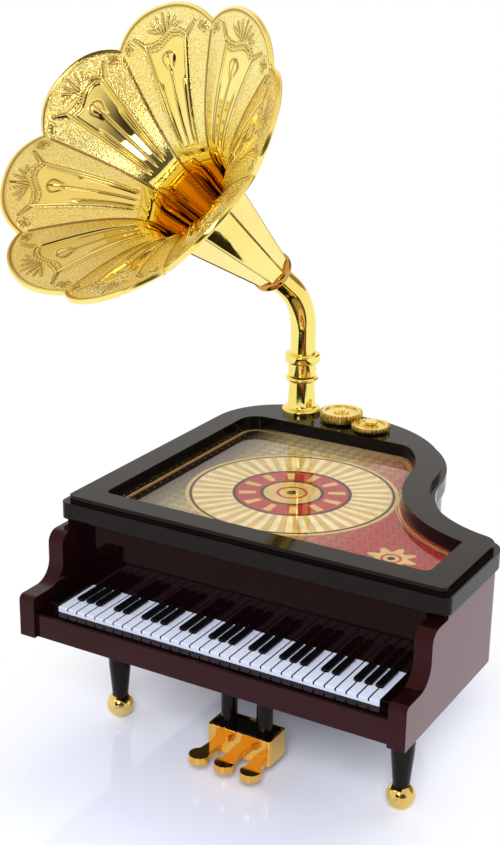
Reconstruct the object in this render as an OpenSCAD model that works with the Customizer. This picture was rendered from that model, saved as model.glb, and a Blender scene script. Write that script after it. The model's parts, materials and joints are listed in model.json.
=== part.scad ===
// Wind-up music box in the form of a small grand piano, with a flower horn on its lid.
// Lengths are in millimetres and angles in degrees. The modules measure x from the left cheek,
// y from the cheek fronts to the tail and z up from the floor, and in_frame() moves the model
// so that its origin lies on the floor under the middle of its bounding box.

/* [Case] */
// Width over the two cheeks
case_w = 150; // [146:1:160]
// Length from the cheek fronts to the tail
case_l = 165; // [163:1:172]
// Height of the case walls
case_h = 35.5; // [34:0.5:42]
// Height of the case above the floor
leg_h = 46; // [40:0.5:60]
// Thickness of the case walls
wall = 2.4; // [2:0.1:2.8]
// Thickness of the cheeks
cheek_t = 6.3; // [5.5:0.1:7]
// Height of the cheek fronts
cheek_h = 15.5; // [14:0.5:17]
// Rounding of the cheek's front top
nose_r = 2; // [1:0.1:3]
// Radius of the hollow in the cheek's top
hollow_r = 7.6; // [6.5:0.1:8.2]
// Rounding of the cheek's shoulder under the lid
shoulder_r = 4.5; // [3:0.1:5]
// Radius of the tail's left corner
tail_r = 32; // [28:1:36]
// Radius of the bowed side beside the tail
bow_r = 56; // [54:1:58]
// Distance of the bow's centre from the left side
bow_x = 52.5; // [50:0.5:55]
// Radius of the hollow waist
waist_r = 46; // [42:1:50]
// Radius of the right rear corner
corner_r = 7.5; // [5:0.5:9]
// Length of the straight right side
side_l = 68; // [66:1:70]
// Thickness of the bottom plate
plate_t = 3; // [2.6:0.1:3.6]

/* [Keyboard] */
// Number of white keys
white_n = 32; // [25:1:36]
// Setback of the key fronts behind the cheek fronts
keys_y = 6.5; // [5:0.5:9]
// Setback of the fallboard behind the cheek fronts
fall_y = 27.5; // [26:0.5:28]
// Thickness of the fallboard
fall_t = 2.5; // [2:0.1:3]
// Height of the key fronts
key_t = 2; // [1.6:0.1:2.6]
// Width of the blocks at the ends of the keys
block_w = 5.9; // [4:0.1:8]
// Height of the keybed's top above the case's underside
keybed_h = 9.3; // [8.5:0.1:10]
// Height of the black keys over the white ones
black_t = 1.1; // [0.8:0.1:2]

/* [Lid] */
// Overhang of the lid beyond the case
lid_over = 1.2; // [0.6:0.1:2]
// Setback of the lid's front edge behind the cheek fronts
lid_y = 26; // [24:0.5:27]
// Height of the lid's flange
flange_h = 6.2; // [5.5:0.1:7]
// Height of the raised part of the lid
raise_h = 2.3; // [1.5:0.1:3]
// Width of the flange's ledge around the raised part
ledge = 2.2; // [1:0.1:3]
// Width of the lid's border around the window
border = 11; // [10.5:0.5:12]
// Width of the lid's border at the tail
tail_border = 23.6; // [23:0.1:24.5]
// Front edge of the window behind the cheek fronts
window_y = 37.5; // [37:0.5:40]
// Radius of the window's rear corners
window_r = 8; // [6:0.5:9]
// Thickness of the window pane
pane_t = 1.8; // [1.5:0.1:2.2]
// Depth of the pane's top below the lid's top
pane_sink = 5.2; // [4.8:0.1:5.4]
// Width of the rebate that holds the pane
rebate = 2; // [1.5:0.1:2.2]

/* [Legs and pedals] */
// Distance of the front legs from the cheek sides
leg_x = 16.5; // [14:0.5:20]
// Distance of the front legs from the cheek fronts
leg_y = 37; // [34:0.5:42]
// Distance of the tail leg from the tail
tail_leg = 39; // [37:0.5:40]
// Radius at the leg's top
leg_r1 = 5; // [4.3:0.1:5.2]
// Radius of the leg a third of the way up
leg_rm = 4.1; // [3.5:0.1:4.3]
// Radius at the leg's foot
leg_r2 = 3; // [2.6:0.1:3.3]
// Radius of the ball feet
ball_r = 5.1; // [4.6:0.1:6]
// Width of the pedal box
box_w = 25.6; // [24:0.2:30]
// Depth of the pedal box
box_l = 11.8; // [10:0.2:13]
// Height of the pedal box
box_h = 10; // [8:0.2:12]
// Front of the pedal box behind the cheek fronts
box_y = 26.2; // [25.5:0.1:27]
// Height of the pedal box above the floor
box_z = 6; // [4:0.5:10]
// Spacing of the pedals
pedal_gap = 10.5; // [9:0.1:11]
// Reach of the pedals in front of their box
pedal_l = 9.2; // [7:0.1:12]
// Radius of the pedal ends
pedal_r = 3.8; // [3:0.1:4.2]
// Thickness of the pedals
pedal_t = 2.9; // [2:0.1:3.5]
// Radius of the lyre's posts
post_r = 3; // [2.2:0.1:3.2]
// Spacing of the lyre's posts
post_gap = 14.6; // [12:0.2:16]

/* [Horn] */
// Distance of the horn's stem from the left side
stem_x = 27.5; // [26:0.5:28]
// Distance of the horn's stem from the tail
stem_back = 8.7; // [8.5:0.1:9.5]
// Radius of the pedestal's base
base_r = 8.2; // [7.5:0.1:8.5]
// Height of the pedestal with its ring
pedestal_h = 16; // [13:0.5:20]
// Outer radius of the elbow's tube
tube_r = 5.3; // [4.9:0.1:5.6]
// Height at which the elbow starts to bend, above the lid
stem_h = 35.8; // [34:0.2:50]
// Radius of the elbow's bend
bend_r = 26; // [22:0.5:34]
// Angle of the horn above the level
horn_tilt = 38.2; // [30:0.1:48]
// Angle of the horn to the left of straight ahead
horn_turn = 15; // [0:0.1:40]
// Straight length of the tube beyond the bend
nozzle_l = 14.5; // [10:0.5:20]
// Radius of the collar
collar_r = 8.9; // [8.7:0.1:10]
// Length of the collar
collar_l = 5; // [4:0.1:7]
// Radius of the cone's corners at the collar
cone_r1 = 8.3; // [7.6:0.1:8.6]
// Radius of the cone's corners where the petals start
cone_r2 = 18.4; // [15:0.2:22]
// Length of the cone
cone_l = 50.6; // [45:0.2:60]
// Length of the petals along the horn's axis
petal_l = 33; // [28:1:42]
// Radius of the notches between the petals
notch_r = 57.8; // [50:0.2:64]
// Radius of the petals' tips
tip_r = 63.2; // [58:0.2:70]
// Distance of the petals' tips ahead of the notches
petal_cup = 5.7; // [0:0.1:9]
// Thickness of the bell
bell_t = 1.2; // [1:0.1:1.6]
// Height of the ribs inside the petals
rib_h = 0.6; // [0.3:0.1:1]

/* [Lid gears] */
// Module of the two lid gears
gear_m = 0.47; // [0.44:0.01:0.48]
// Teeth of the drive gear
drive_n = 36; // [32:4:36]
// Teeth of the idler gear
idler_n = 32; // [28:4:32]
// Thickness of the drive gear
drive_t = 3.5; // [2.5:0.1:4.5]
// Thickness of the idler gear
idler_t = 1.8; // [1.4:0.1:2.4]
// Distance of the drive gear from the left side
drive_x = 47.5; // [47:0.5:48]
// Distance of the drive gear from the tail
drive_back = 10.8; // [10.8:0.1:11.2]
// Direction from the drive gear to the idler, to the front of square
idler_turn = 13.8; // [8:0.2:16]

/* [Movement] */
// Radius of the winding arbor
arbor_r = 2; // [1.6:0.1:2.2]
// Radius of the output shaft
shaft_r = 1.5; // [1.2:0.1:1.8]
// Radius of the spring barrel's drum
drum_r = 6.2; // [5.8:0.1:6.2]
// Height of the spring barrel
drum_h = 13.5; // [11:0.5:15]
// Radius of the pinned cylinder
cyl_r = 6.5; // [5.5:0.1:6.6]
// Length of the pinned cylinder
cyl_l = 19.5; // [18:0.5:19.5]
// Notes of the comb
note_n = 18; // [12:1:18]
// Thickness of the bedplate
bed_t = 2.5; // [2:0.1:3]
// Turns of the mainspring
spring_n = 6; // [4:1:7]
// Half width of the winding key's wings
key_wing = 9.8; // [8.4:0.2:10]

/* [Hidden] */
$fn = 48;

// Fits: a free gap, a running fit and a seat of fixed pieces
gap = 0.3;
run = 0.05;
seat = 0.15;

// Heights of the main planes
case_z = leg_h;
plate_top = case_z + plate_t;
lid_z = case_z + case_h;
flange_z = lid_z + flange_h;
lid_top = flange_z + raise_h;
keys_z = case_z + keybed_h;
pane_z = lid_top - pane_sink - pane_t;
card_t = 0.4;
window_fr = 2.5;

// Plan of the case: centres of its arcs, the waist found from its two neighbours
tail_c = [tail_r, case_l - tail_r];
bow_c = [bow_x, case_l - bow_r];
corner_c = [case_w - corner_r, side_l];
waist_c = meet(bow_c, bow_r + waist_r, corner_c, corner_r + waist_r);
bow_a = heading(bow_c, waist_c);
waist_a = heading(waist_c, corner_c) + 360;
cheek_back = fall_y + fall_t + 6;
seat_y = fall_y + 1.7;

function heading(a, b) = atan2(b.y - a.y, b.x - a.x);

// Point at the given distances from two others, on the right of the line between them
function meet(a, ra, b, rb) =
    let (d = norm(b - a), along = (ra * ra - rb * rb + d * d) / (2 * d))
    a + along * (b - a) / d + sqrt(ra * ra - along * along) * [-(b - a).y, (b - a).x] / d;

function arc(c, r, a0, a1, n) =
    [for (i = [0:n]) c + r * [cos(a0 + (a1 - a0) * i / n), sin(a0 + (a1 - a0) * i / n)]];

// Outline of the rim, set in by d, from the front line y0 with front corners of radius r
function rim(d, y0, r = 0.01) = concat(
    arc([d + r, y0 + r], r, 270, 180, 4),
    arc(tail_c, tail_r - d, 180, 90, 16),
    arc(bow_c, bow_r - d, 90, bow_a, 18),
    arc(waist_c, waist_r + d, bow_a + 180, waist_a, 16),
    arc(corner_c, corner_r - d, waist_a - 180, 0, 8),
    arc([case_w - d - r, y0 + r], r, 0, -90, 4)
);

// Outline of the window, grown by d
function window(d) =
    let (
        back = case_l - tail_border + d,
        side = case_w - border + d,
        front = window_y - d,
        r = window_r + d,
        fr = window_fr + d,
        br = bow_r - border + d,
        wr = waist_r + border - d,
        fillet_y = back - r,
        fillet = [bow_c.x + sqrt(pow(br - r, 2) - pow(fillet_y - bow_c.y, 2)), fillet_y],
        fillet_a = heading(bow_c, fillet),
        end_a = 360 - acos((side - waist_c.x) / wr)
    )
    concat(
        arc([border - d + fr, front + fr], fr, 270, 180, 5),
        arc([border - d + r, fillet_y], r, 180, 90, 8),
        arc(fillet, r, 90, fillet_a, 6),
        arc(bow_c, br, fillet_a, bow_a, 12),
        arc(waist_c, wr, bow_a + 180, end_a, 14),
        arc([side - fr, front + fr], fr, 0, -90, 5)
    );

// Rectangle with round corners, centred on its middle
function round_rect(w, l, r) = concat(
    arc([w / 2 - r, l / 2 - r], r, 0, 90, 5), arc([r - w / 2, l / 2 - r], r, 90, 180, 5),
    arc([r - w / 2, r - l / 2], r, 180, 270, 5), arc([w / 2 - r, r - l / 2], r, 270, 360, 5)
);

// Gear outline with straight-flanked teeth, one tooth on the x axis
function gear_points(n, m) =
    let (half = 90 / n * 0.84, tip = m * (n / 2 + 0.9), root = m * (n / 2 - 1.2))
    [for (i = [0:n - 1], c = [[-1.3, root], [-0.5, tip], [0.5, tip], [1.3, root]])
        c[1] * [cos(360 * i / n + c[0] * half), sin(360 * i / n + c[0] * half)]];

// Places of the long case screws, each inside its boss
screw_r = 1.25;
head_r = 2.4;
head_t = 1.4;
boss_in = head_r + gap + seat + 0.3;
boss_r = boss_in + 0.5;
front_boss = fall_y + fall_t + boss_r + gap;
screw_pts = [
    [cheek_t + boss_in, front_boss],
    [case_w - cheek_t - boss_in, front_boss],
    [case_w - wall - boss_in, side_l - 12],
    bow_c + (bow_r - wall - boss_in) * [cos(25), sin(25)],
    tail_c + (tail_r - wall - boss_in) * [cos(135), sin(135)]
];
screw_bite = flange_h - 1.2;

// Lid gears and the movement under them
drive_c = [drive_x, case_l - drive_back];
idler_d = gear_m * (drive_n + idler_n) / 2;
idler_c = drive_c + idler_d * [cos(idler_turn), -sin(idler_turn)];
gear_z = lid_top + 1;
idler_z = gear_z - 0.2;
bush_r = 3;
stud_r = 1.3;
stem_c = [stem_x, case_l - stem_back];
leg_pts = [[leg_x, leg_y], [case_w - leg_x, leg_y], [drive_x + 0.5, case_l - tail_leg]];

// Pedestal and elbow, measured up from the lid
foot_t = 2.2;
joint_z = lid_top + pedestal_h;
sleeve_h = 6;
ring_h = 4;
spigot_r = 4.2;
spigot_h = sleeve_h + ring_h + 2;
socket_r = tube_r + 0.15;
bolt_r = 2.9;
bolt_l = flange_h + raise_h + 4;
bend_a = 90 - horn_tilt;
stem_z = lid_top + stem_h;
petal_n = 8;
petal_a = 180 / petal_n;
petal_steps = 16;

// Movement: levels, barrel, cylinder and governor
bed_z = plate_top;
bed_top = bed_z + bed_t;
flange_r = drum_r + 1.7;
barrel_z = bed_top + 1;
barrel_floor = 1.5;
crown_n = 24;
crown_h = 1.3;
crown_z = barrel_z + barrel_floor;
crown_in = flange_r - 1.4;
drum_t = 0.8;
pinion_n = 12;
crown_pitch = 2 * PI * (flange_r - 0.7) / crown_n;
pinion_r = pinion_n * crown_pitch / (2 * PI);
cyl_c = [drive_c.x, crown_z + 1 + pinion_r];
pinion_y = drive_c.y - flange_r + 0.1;
pinion_t = 1;
bearing_t = 1.2;
cyl_y1 = pinion_y - 0.7 - bearing_t - 0.6;
cyl_y0 = cyl_y1 - cyl_l;
train_m = 0.32;
train_n = 40;
train_t = 1.2;
train_y = cyl_y0 - 0.5 - train_t;
axle_r = 1;
pin_h = 0.35;
wheel_n = 10;
worm_n = 20;
worm_starts = 4;
worm_m = 0.4;
wheel_x = cyl_c.x + train_m * (train_n + wheel_n) / 2;
wheel_y = train_y - 4.4;
worm_r = 1.3;
worm_wave = 0.3;
worm_lead = worm_starts * PI * worm_m;
fly_x = wheel_x + worm_m * (worm_n / 2 + 0.75) + worm_r + worm_wave - 0.3;
pivot_r = 0.6;
fly_z = cyl_c.y + 6.5;
comb_x = cyl_c.x + cyl_r + pin_h + 0.15;
comb_tooth = 10;
comb_l = 18;
comb_t = 1.2;
comb_y = (cyl_y0 + cyl_y1) / 2;
comb_post = 7;
comb_screw_x = comb_x + comb_tooth + comb_post / 2;
bed_x0 = cyl_c.x - 10.5;
bed_x1 = comb_x + comb_tooth + comb_post + 1;
bed_y0 = wheel_y - 6.5;
bed_y1 = drive_c.y - flange_r - 0.6;
bed_screws = [[bed_x0 + 3, bed_y0 + 3], [bed_x1 - 3, bed_y0 + 3], [bed_x0 + 3, bed_y1 - 3]];

// Horn in its own axes: z along the horn from the collar's face, x down in the upright plane
function mix(a, b, t) = a + (b - a) * t;
function ease(t) = t * t * (3 - 2 * t);

// Meridian of the cone and flare at v from 0 to 1, out to a rim of radius r that stands ahead of
// the notches: [axial place, radius]
flare_v = 0.35;
flare_pull = 0.42;
function meridian(v, r, ahead = 0) =
    let (
        slope = (cone_r2 - cone_r1) / cone_l,
        t = (v - flare_v) / (1 - flare_v),
        p0 = [cone_l, cone_r2],
        p1 = p0 + flare_pull * petal_l * [1, slope],
        p2 = [cone_l + petal_l + ahead, r]
    )
    v < flare_v
        ? [cone_l * v / flare_v, mix(cone_r1, cone_r2, v / flare_v)]
        : (1 - t) * (1 - t) * p0 + 2 * t * (1 - t) * p1 + t * t * p2;

// Place on the bell at v along it and u from -1 to 1 across a petal; flat panels become petals
petal_round = 2.4;
function bell_place(v, u) =
    let (
        lobe = 1 - pow(abs(u), petal_round),
        edge = meridian(v, notch_r),
        full = meridian(v, mix(notch_r, tip_r, lobe), petal_cup * lobe),
        flat = edge[1] * cos(petal_a) / cos(u * petal_a),
        w = ease(max(0, (v - flare_v) / (1 - flare_v)))
    )
    [full[0], mix(flat, full[1], w)];

// Ribs inside the petals: one on each side, and a shorter vein up the middle
rib_u = 0.5;
rib_end = 0.86;
vein_end = 0.7;
rib_fade = 0.1;
function peak(d) = max(0, 1 - abs(d) * petal_steps / 2);
function held(x) = max(0, min(1, x / rib_fade));
function rib(v, u) =
    let (t = (v - flare_v) / (1 - flare_v))
    rib_h * held(t) * max(peak(abs(u) - rib_u) * held(rib_end - t), peak(u) * held(vein_end - t));

function bell_point(v, k, n, depth) =
    let (
        a = 2 * petal_a * k / n,
        u = 2 * (k % n) / n - 1,
        p = bell_place(v, u),
        step = bell_place(min(1, v + 0.01), u) - bell_place(max(0, v - 0.01), u),
        m = (depth > 0 ? depth + rib(v, u) : 0) * step / norm(step),
        r = p[1] - m[0]
    )
    [r * cos(a), r * sin(a), p[0] + (v > 0 ? m[1] : 0)];

// Place in the model of a point given in the horn's axes
function horn_place(p) =
    let (
        start = bend_r * (1 - cos(bend_a)) + nozzle_l * sin(bend_a),
        along = start + p.x * cos(bend_a) + p.z * sin(bend_a),
        a = 270 - horn_turn
    )
    [stem_c.x + along * cos(a) - p.y * sin(a), stem_c.y + along * sin(a) + p.y * cos(a)];

rim_ends = [for (k = [0:petal_n * petal_steps - 1], d = [0, bell_t])
    horn_place(bell_point(1, k, petal_steps, d))];
left_end = min([for (p = rim_ends) p.x]);
origin = [
    (min(left_end, -lid_over) + case_w + lid_over) / 2,
    (min(0, min([for (p = rim_ends) p.y])) + case_l + lid_over) / 2
];

module in_frame() { translate([-origin.x, -origin.y, 0]) children(); }

module in_horn() {
    translate([stem_c.x, stem_c.y, stem_z])
        rotate([0, 0, 270 - horn_turn])
            translate([bend_r * (1 - cos(bend_a)), 0, bend_r * sin(bend_a)])
                rotate([0, bend_a, 0])
                    translate([0, 0, nozzle_l])
                        children();
}

module at(p, z = 0) { translate([p.x, p.y, z]) children(); }

module tube(r, bore, h) {
    difference() {
        cylinder(r = r, h = h);
        translate([0, 0, -1]) cylinder(r = bore, h = h + 2);
    }
}

module gear(n, m, h, bore) {
    difference() {
        linear_extrude(h) polygon(gear_points(n, m));
        translate([0, 0, -1]) cylinder(r = bore, h = h + 2);
    }
}

module screw(r, l, cap_r, cap_t) {
    cylinder(r = cap_r, h = cap_t);
    translate([0, 0, cap_t]) cylinder(r = r, h = l);
}

// Case
cheek_drop = 2.2;
cheek_rise = 10;

module cheek() {
    top = case_h - cheek_drop;
    hollow_y = fall_y - cheek_rise - hollow_r;
    rise_y = hollow_y + hollow_r;
    side = concat(
        [[0, 0]],
        arc([nose_r, cheek_h - nose_r], nose_r, 180, 90, 6),
        arc([hollow_y, cheek_h + hollow_r], hollow_r, -90, 0, 10),
        arc([rise_y + shoulder_r, top - shoulder_r], shoulder_r, 180, 90, 8),
        [[seat_y, top], [seat_y, case_h], [cheek_back, case_h], [cheek_back, 0]]
    );
    translate([0, 0, case_z]) rotate([90, 0, 90]) linear_extrude(cheek_t) polygon(side);
}

rail_y = 1.5;
rail_t = 3;
rail_lift = 0.2;
lip_t = 0.6;

module case_shell() {
    color("#35131a") in_frame() difference() {
        union() {
            translate([0, 0, case_z]) linear_extrude(case_h) difference() {
                polygon(rim(0, cheek_back - 1));
                polygon(rim(wall, cheek_back - 2));
            }
            cheek();
            translate([case_w - cheek_t, 0, 0]) cheek();
            translate([cheek_t - 1, rail_y, case_z + rail_lift])
                cube([case_w - 2 * cheek_t + 2, rail_t, keybed_h - rail_lift - lip_t]);
            for (p = screw_pts) at(p, plate_top) cylinder(r = boss_r, h = lid_z - plate_top);
        }
        for (p = screw_pts) at(p, case_z) cylinder(r = screw_r + seat, h = case_h + 1);
    }
}

module bottom_plate() {
    in = cheek_t + seat;
    front = rail_y + rail_t + seat;
    color("#141012") in_frame() difference() {
        union() {
            translate([0, 0, case_z]) linear_extrude(plate_t) polygon(rim(wall + seat, cheek_back + seat));
            translate([in, front, case_z]) cube([case_w - 2 * in, cheek_back + 1 - front, plate_t]);
        }
        for (p = screw_pts) at(p, case_z - 1) {
            cylinder(r = screw_r + seat, h = plate_t + 2);
            cylinder(r = head_r + gap, h = head_t + 1);
        }
        for (p = bed_screws) at(p, case_z - 1) {
            cylinder(r = screw_r + seat, h = plate_t + 2);
            cylinder(r = head_r + gap, h = head_t + 1);
        }
        for (p = leg_pts) at(p, case_z - 1) cylinder(r = tenon_r + run, h = plate_t + 2);
        for (p = post_pts) at(p, case_z - 1) cylinder(r = screw_r + seat, h = plate_t + 2);
        at(drive_c, case_z - 1) cylinder(r = arbor_r + 1.5, h = plate_t + 2);
    }
}

module case_screws() {
    color("#8f9094") in_frame()
        for (p = screw_pts) at(p, case_z)
            screw(screw_r, case_h - head_t + screw_bite - 0.5, head_r, head_t);
}

// Keyboard
bed_plate = 2.4;
key_x0 = cheek_t + block_w;
key_pitch = (case_w - 2 * key_x0) / white_n;
key_slit = 0.6;
slit_d = 1.1;
block_rise = 1.1;
block_lead = 0.5;

module keybed() {
    in = cheek_t + seat;
    color("#0d0c0e") in_frame() {
        translate([in, rail_y + rail_t + seat, keys_z - bed_plate])
            cube([case_w - 2 * in, fall_y - rail_y - rail_t - seat, bed_plate]);
        translate([in, rail_y, keys_z - lip_t]) cube([case_w - 2 * in, rail_t + 1, lip_t]);
        for (x = [in, case_w - key_x0 + seat])
            translate([x, keys_y - block_lead, keys_z - 0.1])
                cube([block_w - 2 * seat, fall_y - keys_y + block_lead, key_t + block_rise]);
    }
}

module white_keys() {
    color("#eef0f7") in_frame() difference() {
        translate([key_x0, keys_y, keys_z]) cube([white_n * key_pitch, fall_y - keys_y, key_t]);
        for (i = [1:white_n - 1])
            translate([key_x0 + i * key_pitch - key_slit / 2, keys_y - 1, keys_z + key_t - slit_d])
                cube([key_slit, fall_y - keys_y + 2, slit_d + 1]);
    }
}

black_w = 2.8;
black_l = 12.6;
black_round = 0.7;
black_gap = 1;

// A black key follows white key i in groups of three and two
function has_black(i) = let (k = i % 7) k != 3 && k != 6;

// Outline of a black key, its tip at y 0
function black_key() = let (x = black_w / 2, r = black_round) concat(
    arc([r - x, r], r, 180, 270, 4),
    arc([x - r, r], r, 270, 360, 4),
    [[x, black_l], [-x, black_l]]
);

module black_keys() {
    color("#0b0b0d") in_frame()
        for (i = [0:white_n - 2]) if (has_black(i))
            translate([key_x0 + (i + 1) * key_pitch, fall_y - black_gap - black_l, keys_z + key_t])
                linear_extrude(black_t) polygon(black_key());
}

module fallboard() {
    in = cheek_t + seat;
    color("#120b0e") in_frame()
        translate([in, fall_y, keys_z - bed_plate])
            cube([case_w - 2 * in, fall_t, lid_z - keys_z + bed_plate]);
}

// Lid with its window
flange_corner = 3;
raise_corner = 2;

module lid_frame() {
    color("#0c0c0e") in_frame() difference() {
        union() {
            translate([0, 0, lid_z]) linear_extrude(flange_h) polygon(rim(-lid_over, lid_y, flange_corner));
            translate([0, 0, lid_z]) linear_extrude(flange_h + raise_h)
                polygon(rim(ledge - lid_over, lid_y + ledge, raise_corner));
        }
        translate([0, 0, lid_z - 1]) linear_extrude(flange_h + raise_h + 2) polygon(window(0));
        translate([0, 0, lid_z - 1]) linear_extrude(pane_z + pane_t - lid_z + 1) polygon(window(rebate));
        for (p = screw_pts) at(p, lid_z - 1) cylinder(r = screw_r + run, h = screw_bite + 1);
        at(stem_c, lid_z - 1) cylinder(r = bolt_r + run, h = lid_top - lid_z + 2);
        at(drive_c, lid_z - 1) cylinder(r = bush_r, h = lid_top - lid_z + 2);
        at(idler_c, lid_z + 1) cylinder(r = stud_r, h = lid_top - lid_z);
    }
}

module window_pane() {
    color("#cfe3ea", 0.35) in_frame()
        translate([0, 0, pane_z]) linear_extrude(pane_t) polygon(window(rebate - seat));
}

module print_card() {
    color("#7d2a22") in_frame()
        translate([0, 0, pane_z - card_t]) linear_extrude(card_t) polygon(window(rebate - seat));
}

module backing_board() {
    color("#7a5a38") in_frame()
        translate([0, 0, lid_z]) linear_extrude(pane_z - card_t - lid_z) polygon(window(rebate - seat));
}

// Legs and ball feet
tenon_r = 2.2;
ball_flat = 0.25;
ball_z = ball_r - ball_flat;
leg_seat = ball_z + sqrt(ball_r * ball_r - pow(leg_r2 + 0.1, 2));
peg_r = 1.2;
peg_l = 4;

module leg(p) {
    color("#0c0c0e") in_frame() at(p) rotate_extrude() polygon([
        [0, leg_seat - peg_l], [peg_r, leg_seat - peg_l], [peg_r, leg_seat], [leg_r2, leg_seat],
        [leg_rm, mix(leg_seat, case_z, 1 / 3)], [leg_r1, case_z], [tenon_r, case_z],
        [tenon_r, plate_top], [0, plate_top]
    ]);
}

module foot(p) {
    color("#e3b341") in_frame() at(p) difference() {
        translate([0, 0, ball_z]) sphere(r = ball_r);
        translate([0, 0, -ball_r]) cylinder(r = ball_r, h = ball_r);
        translate([0, 0, leg_seat]) cylinder(r = ball_r, h = ball_r);
        translate([0, 0, leg_seat - peg_l - gap]) cylinder(r = peg_r + run, h = peg_l + 1);
    }
}

module leg_front_left() { leg(leg_pts[0]); }
module leg_front_right() { leg(leg_pts[1]); }
module leg_tail() { leg(leg_pts[2]); }
module foot_front_left() { foot(leg_pts[0]); }
module foot_front_right() { foot(leg_pts[1]); }
module foot_tail() { foot(leg_pts[2]); }

// Pedals
box_wall = 1;
base_t = 1.2;
base_sink = 0.6;
post_z = box_z + box_h - base_sink - base_t;
post_pts = [for (s = [-1, 1]) [case_w / 2 + s * post_gap / 2, box_y + box_l / 2]];
post_bore = 8;
pedal_splay = 0.14;
pedal_lift = 0.3;
stalk = 0.62 * pedal_r;

module lyre() {
    color("#101012") in_frame() difference() {
        union() {
            translate([case_w / 2, box_y + box_l / 2, post_z]) linear_extrude(base_t)
                polygon(round_rect(box_w - 2 * box_wall - 2 * seat, box_l - 2 * box_wall - 2 * seat, 0.6));
            for (p = post_pts) at(p, post_z) cylinder(r = post_r, h = case_z - post_z);
        }
        for (p = post_pts) at(p, case_z - post_bore) cylinder(r = screw_r + run, h = post_bore + 1);
    }
}

module lyre_screws() {
    color("#8f9094") in_frame()
        for (p = post_pts) at(p, plate_top + head_t) mirror([0, 0, 1])
            screw(screw_r, plate_t + post_bore - 1, head_r, head_t);
}

module pedal_box() {
    color("#e0a02e") in_frame() translate([case_w / 2, box_y + box_l / 2, box_z]) {
        difference() {
            linear_extrude(box_h) polygon(round_rect(box_w, box_l, 1));
            translate([0, 0, post_z - box_z]) linear_extrude(box_h)
                polygon(round_rect(box_w - 2 * box_wall, box_l - 2 * box_wall, 0.7));
        }
        for (s = [-1, 0, 1]) translate([s * pedal_gap * (1 - pedal_splay), -box_l / 2, pedal_lift]) {
            reach = [s * pedal_gap * pedal_splay, -pedal_l];
            translate([reach.x, reach.y, 0]) cylinder(r = pedal_r, h = pedal_t);
            linear_extrude(pedal_t) polygon([
                [-stalk, box_wall / 2], [stalk, box_wall / 2], reach + [stalk, 0], reach - [stalk, 0]
            ]);
        }
    }
}

// Horn
base_round = 1;
cove_r = 1.2;
bead_r = 0.9;
bead_step = 0.7;
nut_r = 4.8;
nut_t = 3.2;

module horn_pedestal() {
    neck = tube_r - 0.1;
    ring_z = pedestal_h - 2 * bead_r;
    color("#e6b740") in_frame() at(stem_c, lid_top) rotate_extrude() polygon(concat(
        [[0, -bolt_l], [bolt_r, -bolt_l], [bolt_r, 0], [base_r, 0]],
        arc([base_r - base_round, foot_t - base_round], base_round, 0, 90, 4),
        arc([neck + cove_r + bead_step, foot_t + cove_r], cove_r, 270, 190, 4),
        [[neck, ring_z - bead_r / 2], [tube_r + bead_r, ring_z]],
        arc([tube_r + bead_step, ring_z + bead_r], bead_r, -60, 60, 6),
        [[tube_r + bead_step, pedestal_h], [spigot_r, pedestal_h]],
        [[spigot_r, pedestal_h + spigot_h], [0, pedestal_h + spigot_h]]
    ));
}

module pedestal_nut() {
    color("#b9a25a") in_frame() at(stem_c, lid_z - nut_t) difference() {
        cylinder(r = nut_r, h = nut_t, $fn = 6);
        translate([0, 0, -1]) cylinder(r = bolt_r + run, h = nut_t + 2);
    }
}

sleeve_over = 0.6;
ring_round = 1;
lap = 0.6;
pipe_t = 1.2;
mouth_l = 8;

module horn_elbow() {
    sleeve_z = joint_z + gap;
    ring_z = sleeve_h - gap;
    bend_z = stem_z - sleeve_z + lap;
    color("#e6b740") in_frame() difference() {
        union() {
            at(stem_c, sleeve_z) rotate_extrude() polygon(concat(
                [[0, 0], [tube_r + sleeve_over, 0], [tube_r + sleeve_over, ring_z]],
                arc([tube_r + ring_round, ring_z + ring_round], ring_round, 270, 360, 5),
                arc([tube_r + ring_round, ring_z + ring_h - ring_round], ring_round, 0, 90, 5),
                [[socket_r, ring_z + ring_h], [socket_r, bend_z], [0, bend_z]]
            ));
            translate([stem_c.x, stem_c.y, stem_z]) rotate([0, 0, 270 - horn_turn])
                translate([bend_r, 0, 0]) rotate([90, 0, 0]) rotate([0, 0, 180 - bend_a])
                    rotate_extrude(angle = bend_a) translate([bend_r, 0]) circle(r = tube_r);
            in_horn() translate([0, 0, -nozzle_l - lap]) cylinder(r = socket_r, h = nozzle_l + lap - 1);
        }
        at(stem_c, sleeve_z - 1) cylinder(r = spigot_r + run, h = spigot_h + 1 + gap);
        in_horn() translate([0, 0, -mouth_l]) cylinder(r = tube_r - pipe_t, h = mouth_l);
    }
}

collar_swell = 1.6;

module horn_collar() {
    round = collar_l / 2;
    color("#d99a2b") in_frame() in_horn() translate([0, 0, -collar_l]) rotate_extrude() polygon(concat(
        [[socket_r + run, 0], [tube_r + pipe_t, 0]],
        [for (p = arc([0, round], 1, -80, 80, 8))
            [collar_r - collar_swell * (1 - p.x), round + (p.y - round) * round]],
        [[cone_r1 - 2 * bell_t, collar_l], [socket_r + run, collar_l - 1]]
    ));
}

bell_rings = [for (i = [0:4]) flare_v * i / 4, for (i = [1:12]) mix(flare_v, 1, i / 12)];

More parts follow.
